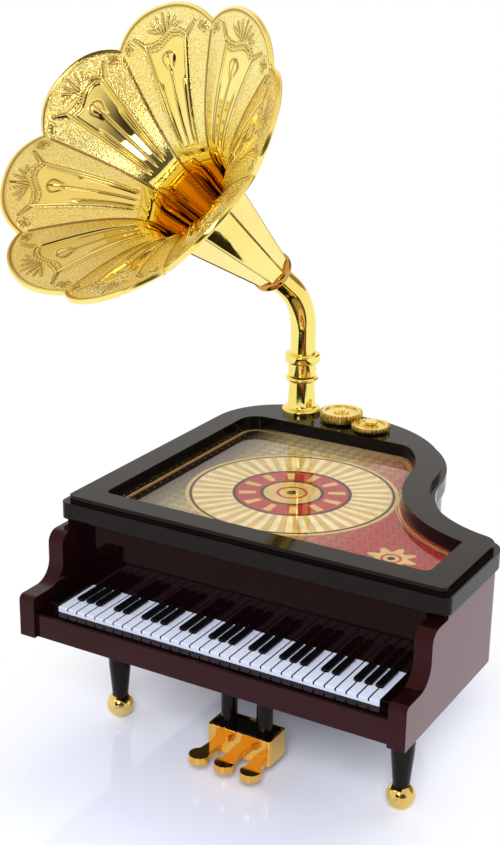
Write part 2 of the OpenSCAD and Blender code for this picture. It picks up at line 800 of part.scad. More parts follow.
module horn_bell() {
    cols = petal_n * petal_steps;
    rows = len(bell_rings);
    points = [for (d = [0, bell_t], v = bell_rings, k = [0:cols - 1]) bell_point(v, k, petal_steps, d)];
    skin = rows * cols;
    function cell(s, i, k) = s * skin + i * cols + k % cols;
    faces = concat(
        [for (i = [0:rows - 2], k = [0:cols - 1], f = [0, 1]) f == 0
            ? [cell(0, i, k), cell(0, i + 1, k), cell(0, i + 1, k + 1)]
            : [cell(0, i, k), cell(0, i + 1, k + 1), cell(0, i, k + 1)]],
        [for (i = [0:rows - 2], k = [0:cols - 1], f = [0, 1]) f == 0
            ? [cell(1, i, k), cell(1, i + 1, k + 1), cell(1, i + 1, k)]
            : [cell(1, i, k), cell(1, i, k + 1), cell(1, i + 1, k + 1)]],
        [for (k = [0:cols - 1], f = [0, 1]) f == 0
            ? [cell(0, rows - 1, k), cell(1, rows - 1, k), cell(1, rows - 1, k + 1)]
            : [cell(0, rows - 1, k), cell(1, rows - 1, k + 1), cell(0, rows - 1, k + 1)]],
        [for (k = [0:cols - 1], f = [0, 1]) f == 0
            ? [cell(0, 0, k), cell(1, 0, k + 1), cell(1, 0, k)]
            : [cell(0, 0, k), cell(0, 0, k + 1), cell(1, 0, k + 1)]]
    );
    color("#edc04a") in_frame() in_horn() polyhedron(points, faces);
}

// Lid gears
dish_d = 0.6;
gear_rim = 1.6;
gear_hub = 3.2;

module faced_gear(n, h, bore) {
    pitch_r = gear_m * n / 2;
    difference() {
        gear(n, gear_m, h, bore);
        translate([0, 0, h - dish_d]) tube(pitch_r - gear_rim, gear_hub, 2 * dish_d);
    }
}

module drive_gear() {
    color("#e6b740") in_frame() at(drive_c, gear_z) rotate([0, 0, -idler_turn])
        faced_gear(drive_n, drive_t, shaft_r);
}

module idler_gear() {
    turn = 180 - idler_turn + 180 / idler_n;
    color("#e6b740") in_frame() at(idler_c, idler_z) rotate([0, 0, turn])
        faced_gear(idler_n, idler_t, stud_r + run);
}

module idler_stud() {
    head = idler_z + idler_t + 0.2;
    color("#d9a637") in_frame() at(idler_c, 0) {
        translate([0, 0, lid_z + 1]) cylinder(r = stud_r, h = head - lid_z);
        translate([0, 0, lid_top]) tube(2.4, stud_r, idler_z - lid_top - 0.2);
        translate([0, 0, head]) cylinder(r = 2.6, h = 1.1);
    }
}

module drive_bush() {
    color("#b08d3c") in_frame() at(drive_c, lid_z) {
        tube(bush_r, shaft_r + run, lid_top - lid_z);
        translate([0, 0, lid_top - lid_z]) tube(bush_r + 1, shaft_r + run, gear_z - lid_top - gap);
        translate([0, 0, -1]) tube(bush_r + 1.5, shaft_r + run, 1);
    }
}

// Spring barrel and winding
cover_t = 1.2;
hub_r = 2.6;
hub_l = 2;
shaft_end = 0.4;

module output_shaft() {
    cover_z = barrel_z + drum_h - cover_t;
    hub_z = cover_z + cover_t;
    top = gear_z + drive_t + shaft_end;
    color("#c9ccd2") in_frame() at(drive_c) {
        translate([0, 0, cover_z]) cylinder(r = drum_r - drum_t - run, h = cover_t);
        translate([0, 0, hub_z]) cylinder(r = hub_r, h = hub_l);
        translate([0, 0, hub_z + hub_l]) cylinder(r = shaft_r, h = top - hub_z - hub_l);
    }
}

module spring_barrel() {
    color("#b8973f") in_frame() at(drive_c, barrel_z) difference() {
        union() {
            cylinder(r = flange_r, h = barrel_floor);
            cylinder(r = drum_r, h = drum_h);
            for (i = [0:crown_n - 1]) rotate([0, 0, 90 + 360 * (i + 0.5) / crown_n])
                translate([crown_in, -0.3, barrel_floor - 0.2])
                    cube([flange_r - crown_in - 0.1, 0.6, crown_h + 0.2]);
        }
        translate([0, 0, barrel_floor]) cylinder(r = drum_r - drum_t, h = drum_h);
        translate([0, 0, -1]) cylinder(r = arbor_r + run, h = drum_h);
    }
}

// Flat spiral strip from the arbor to the drum
spring_t = 0.25;

module mainspring() {
    r0 = arbor_r + 0.6;
    r1 = drum_r - drum_t - spring_t - 0.05;
    steps = 24 * spring_n;
    function turn(i, t) = (mix(r0, r1, i / steps) + t) * [cos(15 * i), sin(15 * i)];
    strip = concat([for (i = [0:steps]) turn(i, 0)], [for (i = [steps:-1:0]) turn(i, spring_t)]);
    color("#5d6268") in_frame() at(drive_c, barrel_z + barrel_floor + 0.4)
        linear_extrude(drum_h - barrel_floor - 2.2) polygon(strip);
}

module winding_arbor() {
    bottom = case_z - 10;
    top = barrel_z + drum_h - 1.8;
    color("#9a9da3") in_frame() at(drive_c, bottom) cylinder(r = arbor_r, h = top - bottom);
}

module winding_key() {
    hub_top = case_z - 0.8;
    hub_h = 10;
    hub_wall = 1.4;
    bore_l = 9.2;
    wing_t = 1.8;
    wing_r = 5.2;
    eye_r = 1.7;
    color("#c7a24a") in_frame() at(drive_c, hub_top - hub_h) difference() {
        union() {
            cylinder(r = arbor_r + hub_wall, h = hub_h);
            for (s = [-1, 1]) translate([s * (key_wing - wing_r), wing_t / 2, 0]) rotate([90, 0, 0])
                cylinder(r = wing_r, h = wing_t);
        }
        translate([0, 0, hub_h - bore_l]) cylinder(r = arbor_r, h = bore_l + 1);
        for (s = [-1, 1]) translate([s * (key_wing - wing_r + 1.2), 2, -0.4]) rotate([90, 0, 0])
            cylinder(r = eye_r, h = 4);
    }
}

// Movement frame
module bearing(x, y, z, r, w) {
    difference() {
        translate([x - w / 2, y, bed_top - 0.1]) cube([w, bearing_t, z - bed_top + w / 2 - 1]);
        translate([x, y - 1, z]) rotate([-90, 0, 0]) cylinder(r = r + run, h = bearing_t + 2);
    }
}

module bedplate() {
    front_bearing = train_y - 0.5 - bearing_t;
    rear_bearing = cyl_y1 + 0.6;
    post_x = comb_x + comb_tooth;
    color("#a98b45") in_frame() difference() {
        union() {
            translate([bed_x0, bed_y0, bed_z]) cube([bed_x1 - bed_x0, bed_y1 - bed_y0, bed_t]);
            intersection() {
                at(drive_c, bed_z) cylinder(r = flange_r - 0.2, h = bed_t);
                translate([0, bed_y1 - 1, bed_z]) cube([case_w, case_l, bed_t]);
            }
            translate([drive_c.x - 6, bed_y1 - 1, bed_z]) cube([12, drive_c.y - bed_y1, bed_t]);
            at(drive_c, bed_top - 0.1) cylinder(r = arbor_r + 1.4, h = barrel_z - bed_top - gap + 0.1);
            bearing(cyl_c.x, front_bearing, cyl_c.y, axle_r, 6);
            bearing(cyl_c.x, rear_bearing, cyl_c.y, axle_r, 6);
            translate([post_x, comb_y - comb_l / 2, bed_top - 0.1])
                cube([comb_post, comb_l, cyl_c.y - comb_t / 2 - bed_top + 0.1]);
        }
        at(drive_c, bed_z - 1) cylinder(r = arbor_r + run, h = barrel_z);
        for (p = bed_screws) at(p, bed_z - 1) cylinder(r = screw_r + run, h = bed_t + 2);
        for (s = [-1, 1]) translate([comb_screw_x, comb_y + s * comb_l / 4, bed_top])
            cylinder(r = screw_r + run, h = cyl_c.y);
    }
}

module movement_screws() {
    color("#8f9094") in_frame()
        for (p = bed_screws) at(p, case_z) screw(screw_r, plate_t + bed_t - head_t - 0.2, head_r, head_t);
}

// Pinned cylinder and comb
note_gap = 1;
pins_per_note = 5;

module pin_cylinder() {
    span = (note_n - 1) * note_gap;
    color("#c3a24b") in_frame() translate([cyl_c.x, cyl_y0, cyl_c.y]) rotate([-90, 0, 0]) {
        tube(cyl_r, axle_r, cyl_l);
        for (i = [0:note_n - 1], k = [0:pins_per_note - 1])
            rotate([0, 0, 360 * ((i * 7 + k * 11) % 41) / 41])
                translate([cyl_r - 0.2, 0, comb_y - cyl_y0 - span / 2 + i * note_gap])
                    rotate([0, 90, 0]) cylinder(r = 0.16, h = pin_h + 0.2, $fn = 6);
    }
}

module cylinder_arbor() {
    end = train_y - 0.5 - bearing_t - 0.2;
    color("#b9bcc2") in_frame() translate([cyl_c.x, 0, cyl_c.y]) rotate([-90, 0, 0]) {
        translate([0, 0, end]) cylinder(r = axle_r, h = pinion_y + pinion_t - end);
        translate([0, 0, train_y]) rotate([0, 0, 180 / train_n]) gear(train_n, train_m, train_t, axle_r);
        translate([0, 0, pinion_y]) for (i = [0:pinion_n - 1]) rotate([0, 0, 90 + 360 * i / pinion_n])
            linear_extrude(pinion_t) polygon([
                [0, -0.4], [pinion_r - 0.7, -0.4], [pinion_r + 0.7, -0.17],
                [pinion_r + 0.7, 0.17], [pinion_r - 0.7, 0.4], [0, 0.4]
            ]);
    }
}

module comb() {
    span = (note_n - 1) * note_gap;
    color("#c8ccd3") in_frame() difference() {
        translate([comb_x, comb_y - comb_l / 2, cyl_c.y - comb_t / 2])
            cube([comb_tooth + comb_post, comb_l, comb_t]);
        for (i = [0:note_n]) translate([comb_x - 1, comb_y - span / 2 + (i - 0.5) * note_gap - 0.15, 0])
            cube([comb_tooth - 1 - 3 * i / note_n, 0.3, case_z + case_h]);
        for (s = [-1, 1]) translate([comb_screw_x, comb_y + s * comb_l / 4, 0])
            cylinder(r = screw_r + seat, h = lid_z);
    }
}

module comb_screws() {
    color("#8f9094") in_frame()
        for (s = [-1, 1])
            translate([comb_screw_x, comb_y + s * comb_l / 4, cyl_c.y + comb_t / 2 + head_t])
                mirror([0, 0, 1]) screw(screw_r, comb_t + 4, head_r, head_t);
}

// Governor
frame_t = 1.2;
foot_h = 1.5;
frame_y0 = wheel_y - 2.5 - frame_t;
frame_y1 = wheel_y + 2.6;
bridge_z = cyl_c.y + 4.9;

module governor_frame() {
    x0 = wheel_x - 3.5;
    width = 7;
    color("#b39445") in_frame() difference() {
        union() {
            translate([x0, frame_y0, bed_top])
                cube([fly_x + 3 - x0, frame_y1 + frame_t - frame_y0, foot_h]);
            for (y = [frame_y0, frame_y1]) translate([x0, y, bed_top])
                cube([width, frame_t, bridge_z + frame_t - bed_top]);
            translate([x0, frame_y0, bridge_z])
                cube([fly_x + 3 - x0, frame_y1 + frame_t - frame_y0, frame_t]);
        }
        translate([wheel_x, frame_y0 - 1, cyl_c.y]) rotate([-90, 0, 0])
            cylinder(r = pivot_r + run, h = frame_y1 - frame_y0 + 5);
        translate([fly_x, wheel_y, bed_top + 0.5]) cylinder(r = pivot_r + run, h = lid_z);
    }
}

module governor_wheel() {
    end = train_y + train_t + 0.2;
    color("#d9c48a") in_frame() translate([wheel_x, 0, cyl_c.y]) rotate([-90, 0, 0]) {
        translate([0, 0, frame_y0]) cylinder(r = pivot_r, h = end - frame_y0);
        translate([0, 0, train_y - 0.1]) gear(wheel_n, train_m, train_t + 0.2, pivot_r);
        translate([0, 0, wheel_y - 0.8]) rotate([0, 0, 180 / worm_n]) gear(worm_n, worm_m, 1.6, pivot_r);
    }
}

vane_l = 4.6;
vane_t = 0.4;
vane_h = 4;

module governor_fly() {
    worm_z0 = bed_top + foot_h + 0.8;
    worm_h = bridge_z - 0.6 - worm_z0;
    start = -360 * (cyl_c.y - worm_z0) / worm_lead;
    wave = [for (i = [0:23]) (worm_r + worm_wave * cos(15 * i * worm_starts)) * [cos(15 * i), sin(15 * i)]];
    color("#cfd2d6") in_frame() translate([fly_x, wheel_y, 0]) {
        translate([0, 0, bed_top + 0.7]) cylinder(r = pivot_r, h = fly_z + vane_h + 0.5 - bed_top);
        translate([0, 0, worm_z0]) rotate([0, 0, 180 + start])
            linear_extrude(worm_h, twist = -360 * worm_h / worm_lead, slices = 24) polygon(wave);
        for (s = [0, 180]) rotate([0, 0, s]) translate([0, -vane_t / 2, fly_z])
            cube([vane_l, vane_t, vane_h]);
    }
}

case_shell();
bottom_plate();
case_screws();
keybed();
white_keys();
black_keys();
fallboard();
lid_frame();
window_pane();
print_card();
backing_board();
leg_front_left();
leg_front_right();
leg_tail();
foot_front_left();
foot_front_right();
foot_tail();
lyre();
lyre_screws();
pedal_box();
horn_pedestal();
pedestal_nut();
horn_elbow();
horn_collar();
horn_bell();
drive_gear();
idler_gear();
idler_stud();
drive_bush();
output_shaft();
spring_barrel();
mainspring();
winding_arbor();
winding_key();
bedplate();
movement_screws();
pin_cylinder();
cylinder_arbor();
comb();
comb_screws();
governor_frame();
governor_wheel();
governor_fly();
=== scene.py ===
import bpy
import json
import math
import numpy as np
from mathutils import Matrix, Vector


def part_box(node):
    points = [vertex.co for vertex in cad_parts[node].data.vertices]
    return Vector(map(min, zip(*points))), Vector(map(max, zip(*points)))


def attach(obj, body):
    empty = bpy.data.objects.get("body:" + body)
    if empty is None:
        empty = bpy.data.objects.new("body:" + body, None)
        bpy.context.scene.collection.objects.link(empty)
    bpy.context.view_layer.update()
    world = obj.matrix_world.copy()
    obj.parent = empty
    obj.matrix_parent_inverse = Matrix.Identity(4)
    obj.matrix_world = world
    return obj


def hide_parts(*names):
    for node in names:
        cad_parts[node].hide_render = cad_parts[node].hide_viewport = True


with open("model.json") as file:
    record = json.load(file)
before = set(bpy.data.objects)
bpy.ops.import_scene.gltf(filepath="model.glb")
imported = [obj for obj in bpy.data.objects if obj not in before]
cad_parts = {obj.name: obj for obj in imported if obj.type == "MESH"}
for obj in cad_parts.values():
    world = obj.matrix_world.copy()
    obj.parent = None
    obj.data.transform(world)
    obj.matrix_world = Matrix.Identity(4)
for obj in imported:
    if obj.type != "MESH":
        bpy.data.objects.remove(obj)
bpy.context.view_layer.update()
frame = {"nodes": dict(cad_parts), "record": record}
nodes = frame["nodes"]
mm = 0.001
caseLow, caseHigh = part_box("case_shell")
scene = bpy.context.scene
print("frame loaded:", len(nodes), "nodes")


def fromCase(x, y, z):
    # millimetres from the left cheek, the cheek fronts and the floor
    return Vector((caseLow.x + x * mm, caseLow.y + y * mm, z * mm))


def selectOnly(piece):
    bpy.ops.object.select_all(action="DESELECT")
    piece.select_set(True)
    bpy.context.view_layer.objects.active = piece


def startPiece(name):
    piece = bpy.context.object
    piece.name = name
    piece.data.name = name
    return piece


def settle(piece):
    selectOnly(piece)
    bpy.ops.object.transform_apply(location=True, rotation=True, scale=True)


def finishPiece(piece, body, material, replaced=(), angle=38, flat=False):
    settle(piece)
    bpy.ops.object.shade_smooth_by_angle(angle=math.radians(angle))
    if flat:
        # large faces keep their own normals beside the rounded edges
        weighted = piece.modifiers.new("flat faces", "WEIGHTED_NORMAL")
        weighted.weight = 100
        weighted.keep_sharp = True
        bpy.ops.object.modifier_apply(modifier=weighted.name)
    piece.data.materials.clear()
    piece.data.materials.append(material)
    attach(piece, body)
    if replaced:
        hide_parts(*replaced)
    return piece


def applyBevel(piece, width, segments, limit=40):
    selectOnly(piece)
    bevel = piece.modifiers.new("edge round", "BEVEL")
    bevel.width = width * mm
    bevel.segments = segments
    bevel.limit_method = "ANGLE"
    bevel.angle_limit = math.radians(limit)
    bevel.harden_normals = False
    bpy.ops.object.modifier_apply(modifier=bevel.name)


def roundedCopy(node, name, width, segments=3):
    # a merged copy of a CAD node with its edges rounded
    piece = bpy.data.objects.new(name, nodes[node].data.copy())
    scene.collection.objects.link(piece)
    selectOnly(piece)
    bpy.ops.mesh.customdata_custom_splitnormals_clear()
    bpy.ops.object.mode_set(mode="EDIT")
    bpy.ops.mesh.select_all(action="SELECT")
    bpy.ops.mesh.remove_doubles(threshold=2e-6)
    bpy.ops.mesh.dissolve_limited(angle_limit=math.radians(0.4))
    bpy.ops.object.mode_set(mode="OBJECT")
    if width:
        applyBevel(piece, width, segments)
    return piece


def turnedPiece(name, profile, centre, steps=96):
    # profile: (radius, height) in millimetres, spun about an upright axis through centre
    bpy.ops.object.select_all(action="DESELECT")
    bpy.ops.mesh.primitive_circle_add(vertices=len(profile), radius=0.01, location=(0, 0, 0))
    piece = startPiece(name)
    for vert, (radius, height) in zip(piece.data.vertices, profile):
        vert.co = (radius * mm, 0, height * mm)
    bpy.ops.object.mode_set(mode="EDIT")
    bpy.ops.mesh.select_all(action="SELECT")
    bpy.ops.mesh.spin(steps=steps, angle=2 * math.pi, center=(0, 0, 0), axis=(0, 0, 1))
    bpy.ops.mesh.select_all(action="SELECT")
    bpy.ops.mesh.remove_doubles(threshold=2e-6)
    bpy.ops.mesh.dissolve_degenerate(threshold=1e-7)
    bpy.ops.mesh.normals_make_consistent(inside=False)
    bpy.ops.object.mode_set(mode="OBJECT")
    piece.location = centre
    return piece


def arc(cx, cy, r, a0, a1, n):
    steps = [math.radians(a0 + (a1 - a0) * i / n) for i in range(n + 1)]
    return [(cx + r * math.cos(a), cy + r * math.sin(a)) for a in steps]


# materials

def newMaterial(name):
    material = bpy.data.materials.new(name)
    material.use_nodes = True
    tree = material.node_tree
    return material, tree, tree.nodes["Principled BSDF"]


def setShader(shader, values):
    for socket, value in values.items():
        shader.inputs[socket].default_value = value


def addNode(tree, kind, sockets=(), **settings):
    made = tree.nodes.new(kind)
    for key, value in settings.items():
        setattr(made, key, value)
    for key, value in dict(sockets).items():
        made.inputs[key].default_value = value
    return made


def objectPlace(tree):
    return addNode(tree, "ShaderNodeTexCoord").outputs["Object"]


def noise(tree, scale, detail, rough=0.5):
    made = addNode(tree, "ShaderNodeTexNoise", {"Scale": scale, "Detail": detail, "Roughness": rough})
    tree.links.new(objectPlace(tree), made.inputs["Vector"])
    return made.outputs["Fac"]


def ramp(tree, source, stops):
    made = addNode(tree, "ShaderNodeValToRGB")
    tree.links.new(source, made.inputs["Fac"])
    points = made.color_ramp.elements
    while len(points) < len(stops):
        points.new(0.5)
    for point, (place, value) in zip(points, stops):
        point.position = place
        shade = value if isinstance(value, tuple) else (value, value, value)
        point.color = (*shade, 1)
    return made.outputs["Color"]


def calc(tree, operation, a, b=0.0):
    made = addNode(tree, "ShaderNodeMath", operation=operation)
    for socket, value in zip(made.inputs, (a, b)):
        if isinstance(value, (int, float)):
            socket.default_value = value
        else:
            tree.links.new(value, socket)
    return made.outputs[0]


def blendColour(tree, amount, under, over, mode="MIX"):
    made = addNode(tree, "ShaderNodeMix", data_type="RGBA", blend_type=mode)
    for socket, value in ((made.inputs[0], amount), (made.inputs[6], under), (made.inputs[7], over)):
        if isinstance(value, (int, float)):
            socket.default_value = value
        elif isinstance(value, tuple):
            socket.default_value = (*value, 1)
        else:
            tree.links.new(value, socket)
    return made.outputs[2]


def feed(tree, shader, socket, source):
    tree.links.new(source, shader.inputs[socket])


def attribute(tree, name):
    return addNode(tree, "ShaderNodeAttribute", attribute_name=name).outputs["Fac"]


def addBump(tree, shader, height, depth):
    made = addNode(tree, "ShaderNodeBump", {"Distance": depth * mm})
    tree.links.new(height, made.inputs["Height"])
    feed(tree, shader, "Normal", made.outputs["Normal"])


lacquerLook = {
    "clouds": 45, "flecks": 900.0, "fleckSize": 0.12, "fleckPatches": 320, "fleckShare": 0.6,
    "smear": 260, "roughness": (0.04, 0.1), "ripple": 190, "rippleDepth": 0.012, "paintedSheen": (0.3, 0.5),
}


def lacquer(name, dark, light, fleck, gloss, tint, hazeAndPaintedSheen=None):
    # moulded plastic under gloss lacquer: cloudy colour, faint ripple, fine metal flecks
    look = lacquerLook
    material, tree, shader = newMaterial(name)
    base = blendColour(tree, noise(tree, look["clouds"], 4), dark, light)
    flecks = addNode(tree, "ShaderNodeTexVoronoi", {"Scale": look["flecks"]}, feature="F1")
    tree.links.new(objectPlace(tree), flecks.inputs["Vector"])
    spots = calc(tree, "LESS_THAN", flecks.outputs["Distance"], look["fleckSize"])
    patches = calc(tree, "GREATER_THAN", noise(tree, look["fleckPatches"], 2), look["fleckShare"])
    base = blendColour(tree, calc(tree, "MULTIPLY", spots, patches), base, fleck)
    if hazeAndPaintedSheen:
        # painted sheen: the outer walls are painted paler where they are seen flatly, in place of a
        # reflection
        low, high = look["paintedSheen"]
        slant = addNode(tree, "ShaderNodeLayerWeight", {"Blend": 0.5}).outputs["Facing"]
        rise = ramp(tree, slant, [(low, 0.0), (high, 1.0)])
        paintedSheen = calc(tree, "MULTIPLY", attribute(tree, "outer"), rise)
        base = blendColour(tree, paintedSheen, base, hazeAndPaintedSheen)
    smooth, dullAndPaintedShade = look["roughness"]
    smear = ramp(tree, noise(tree, look["smear"], 5), [(0.3, smooth), (0.8, dullAndPaintedShade)])
    feed(tree, shader, "Base Color", base)
    feed(tree, shader, "Roughness", smear)
    setShader(shader, {"IOR": 1.5, "Specular IOR Level": gloss, "Specular Tint": (*tint, 1)})
    addBump(tree, shader, noise(tree, look["ripple"], 2), look["rippleDepth"])
    return material


platingLook = {
    "drift": 38, "hazeAndPaintedSheen": 150, "ripple": 120, "rippleDepth": 0.02,
    # pit and top colours are painted shade and painted glints on the sand; the last colour is painted shade
    # down the raised lines
    "sand": 1500, "sandDepth": 0.16, "sandHaze": 0.05, "paintedPitShadeColour": (0.55, 0.34, 0.07), "paintedPitShadeAmount": 0.48,
    "top": (1.0, 0.94, 0.6), "paintedGlintAmount": 0.75, "paintedShade": (0.24, 0.09, 0.01), "paintedShadeAmount": 0.9,
}


def plating(name, bright, deep, rough, throat=None):
    # bright plating: slow colour drift, handling haze; on the horn a sandy ground with painted pit shade and
    # painted glints, painted shade down the raised lines and a throat painted darker as shade
    look = platingLook
    material, tree, shader = newMaterial(name)
    drift = ramp(tree, noise(tree, look["drift"], 3), [(0.3, 0.0), (0.7, 1.0)])
    colour = blendColour(tree, drift, bright, deep)
    setShader(shader, {"Metallic": 1.0})
    hazeAndPaintedSheen = ramp(tree, noise(tree, look["hazeAndPaintedSheen"], 6), [(0.35, rough * 0.6), (0.75, rough * 1.5)])
    height = noise(tree, look["ripple"], 3)
    depth = look["rippleDepth"]
    if throat:
        ground = attribute(tree, "grain")
        # painted shade: the throat is painted a deeper, darker gold
        colour = blendColour(tree, attribute(tree, "throat"), colour, throat)
        sand = noise(tree, look["sand"], 2, 0.6)
        # painted shade in the sand's pits, painted glints on its tops
        paintedPitShade = ramp(tree, sand, [(0.34, look["paintedPitShadeAmount"]), (0.49, 0.0)])
        colour = blendColour(tree, calc(tree, "MULTIPLY", ground, paintedPitShade), colour, look["paintedPitShadeColour"])
        paintedGlints = ramp(tree, sand, [(0.52, 0.0), (0.64, look["paintedGlintAmount"])])
        colour = blendColour(tree, calc(tree, "MULTIPLY", ground, paintedGlints), colour, look["top"])
        # painted shade down the raised lines' flanks and in the back seams
        dullAndPaintedShade = calc(tree, "MULTIPLY", attribute(tree, "paintedShade"), look["paintedShadeAmount"])
        colour = blendColour(tree, dullAndPaintedShade, colour, look["paintedShade"])
        height = calc(tree, "ADD", calc(tree, "MULTIPLY", height, 0.12), calc(tree, "MULTIPLY", sand, ground))
        hazeAndPaintedSheen = calc(tree, "ADD", hazeAndPaintedSheen, calc(tree, "MULTIPLY", ground, look["sandHaze"]))
        depth = look["sandDepth"]
    feed(tree, shader, "Base Color", colour)
    feed(tree, shader, "Roughness", hazeAndPaintedSheen)
    addBump(tree, shader, height, depth)
    return material


mouldedLook = {"clouds": 60, "smear": 400, "grain": 700, "grainDepth": 0.006, "coatRoughness": 0.05}


def moulded(name, dark, light, rough, coat=0.0, gloss=0.5):
    look = mouldedLook
    material, tree, shader = newMaterial(name)
    smear = ramp(tree, noise(tree, look["smear"], 4), [(0.3, rough * 0.7), (0.8, rough * 1.3)])
    feed(tree, shader, "Base Color", blendColour(tree, noise(tree, look["clouds"], 4), dark, light))
    feed(tree, shader, "Roughness", smear)
    coating = {"Coat Weight": coat, "Coat Roughness": look["coatRoughness"]}
    setShader(shader, {"Specular IOR Level": gloss, **coating})
    addBump(tree, shader, noise(tree, look["grain"], 3), look["grainDepth"])
    return material


machinedLook = {"lines": 420.0, "stretch": (1.0, 1.0, 14.0), "depth": 0.01}


def machined(name, dark, light, rough):
    # turned or rolled metal with fine lines along one way
    look = machinedLook
    material, tree, shader = newMaterial(name)
    stretch = addNode(tree, "ShaderNodeMapping", {"Scale": look["stretch"]})
    tree.links.new(objectPlace(tree), stretch.inputs["Vector"])
    texture = addNode(tree, "ShaderNodeTexNoise", {"Scale": look["lines"], "Detail": 4.0})
    tree.links.new(stretch.outputs["Vector"], texture.inputs["Vector"])
    lines = texture.outputs["Fac"]
    feed(tree, shader, "Base Color", blendColour(tree, lines, dark, light))
    feed(tree, shader, "Roughness", ramp(tree, lines, [(0.3, rough * 0.7), (0.7, rough * 1.4)]))
    setShader(shader, {"Metallic": 1.0})
    addBump(tree, shader, lines, look["depth"])
    return material


def mixSurfaces(tree, amount, under, over):
    mix = addNode(tree, "ShaderNodeMixShader")
    tree.links.new(amount, mix.inputs["Fac"])
    tree.links.new(under, mix.inputs[1])
    tree.links.new(over, mix.inputs[2])
    tree.links.new(mix.outputs["Shader"], tree.nodes["Material Output"].inputs["Surface"])


paneLook = {"smear": 90, "roughness": 0.04, "ripple": 60, "rippleDepth": 0.003, "index": 1.45}


def clearPane(name):
    look = paneLook
    material, tree, shader = newMaterial(name)
    setShader(shader, {"Base Color": (1, 1, 1, 1), "Transmission Weight": 1.0, "IOR": look["index"]})
    smear = ramp(tree, noise(tree, look["smear"], 5), [(0.45, 0.0), (0.9, look["roughness"])])
    feed(tree, shader, "Roughness", smear)
    addBump(tree, shader, noise(tree, look["ripple"], 2), look["rippleDepth"])
    # light reaches the card through the pane
    shadow = addNode(tree, "ShaderNodeLightPath").outputs["Is Shadow Ray"]
    clear = addNode(tree, "ShaderNodeBsdfTransparent").outputs["BSDF"]
    mixSurfaces(tree, shadow, shader.outputs["BSDF"], clear)
    return material


finishes = {
    # the maroon's last colour is a painted sheen for the outer walls
    "maroon": lacquer("maroon_lacquer", dark=(0.006, 0.0012, 0.0015), light=(0.014, 0.003, 0.0035),
                      fleck=(0.1, 0.03, 0.03), gloss=0.3, tint=(1, 0.4, 0.4), hazeAndPaintedSheen=(0.14, 0.078, 0.09)),
    "fall": lacquer("fall_lacquer", dark=(0.002, 0.0006, 0.0007), light=(0.005, 0.0012, 0.0015),
                    fleck=(0.05, 0.02, 0.02), gloss=0.13, tint=(1, 0.5, 0.5)),
    "black": lacquer("black_lacquer", dark=(0.002, 0.0017, 0.0016), light=(0.004, 0.0033, 0.0032),
                     fleck=(0.05, 0.04, 0.04), gloss=0.18, tint=(1, 0.85, 0.8)),
    "gold": plating("bright_gold", bright=(0.97, 0.82, 0.24), deep=(0.93, 0.7, 0.15), rough=0.06),
    "knob": plating("knob_gold", bright=(0.97, 0.8, 0.27), deep=(0.9, 0.66, 0.16), rough=0.26),
    # the bell's throat colour is painted shade
    "bell": plating("bell_gold", bright=(1.0, 0.87, 0.3), deep=(0.98, 0.77, 0.2), rough=0.045,
                    throat=(0.88, 0.62, 0.14)),
    # painted shade: the collar's plating is a darker copy of the gold, standing in for dark reflections
    "collarPaintedShade": plating("collar_gold_painted_shade", bright=(0.66, 0.35, 0.08), deep=(0.54, 0.25, 0.05), rough=0.06),
    # painted shade: the feet's plating is a darker copy of the gold, standing in for dark reflections
    "ballGoldPaintedShade": plating("foot_gold_painted_shade", bright=(0.86, 0.68, 0.24), deep=(0.76, 0.52, 0.14), rough=0.05),
    "deepGold": plating("pedal_gold", bright=(0.9, 0.56, 0.13), deep=(0.8, 0.43, 0.08), rough=0.09),
    "ivory": moulded("key_white", dark=(0.62, 0.67, 0.84), light=(0.7, 0.75, 0.91), rough=0.16, coat=0.4),
    "ebony": moulded("key_black", dark=(0.002, 0.002, 0.0025), light=(0.004, 0.004, 0.005), rough=0.12,
                     gloss=0.14),
    "board": moulded("hardboard", dark=(0.2, 0.13, 0.07), light=(0.34, 0.23, 0.13), rough=0.6),
    "steel": machined("bright_steel", dark=(0.45, 0.46, 0.48), light=(0.66, 0.67, 0.69), rough=0.25),
    "brass": machined("rolled_brass", dark=(0.55, 0.37, 0.12), light=(0.78, 0.57, 0.24), rough=0.22),
    "pane": clearPane("clear_pane"),
}

# printed card: places in millimetres on the case, bands as shares of the medallion's or rosette's radius
cardLook = {
    "medallion": (62, 86), "radius": 40.0, "rays": 40, "rayShare": 0.1, "rayBand": (0.56, 0.93),
    "wheel": (0.3, 0.54), "petals": 12, "petalShare": 0.55, "petalBand": (0.34, 0.5),
    "rings": [(0.94, 0.965, "ink"), (0.53, 0.56, "ink"), (0.27, 0.3, "ink"), (0.12, 0.15, "red"),
              (-1, 0.05, "ink")],
    "rosette": (119, 52), "rosetteRadius": 9.0, "lobes": 8.0, "lobeDepth": 0.2, "rosetteRing": (0.3, 0.42),
    "eye": 0.16,
    "lattice": 700.0, "latticeShade": 0.3, "latticeDots": 0.97, "groundHalf": 0.06,
    "ground": [(0.12, "ink"), (0.26, "sand"), (0.5, "sand"), (0.85, "red")],
    "gold": (0.75, 0.55, 0.2), "cream": (0.88, 0.78, 0.5), "red": (0.55, 0.05, 0.045),
    "ink": (0.022, 0.01, 0.008), "sand": (0.6, 0.48, 0.25),
    "bands": (2.6, 0.6, 0.5, 0.35),  # insets of the border lines
    "ageing": 180, "roughness": 0.32, "paper": 2500, "paperDepth": 0.004,
}


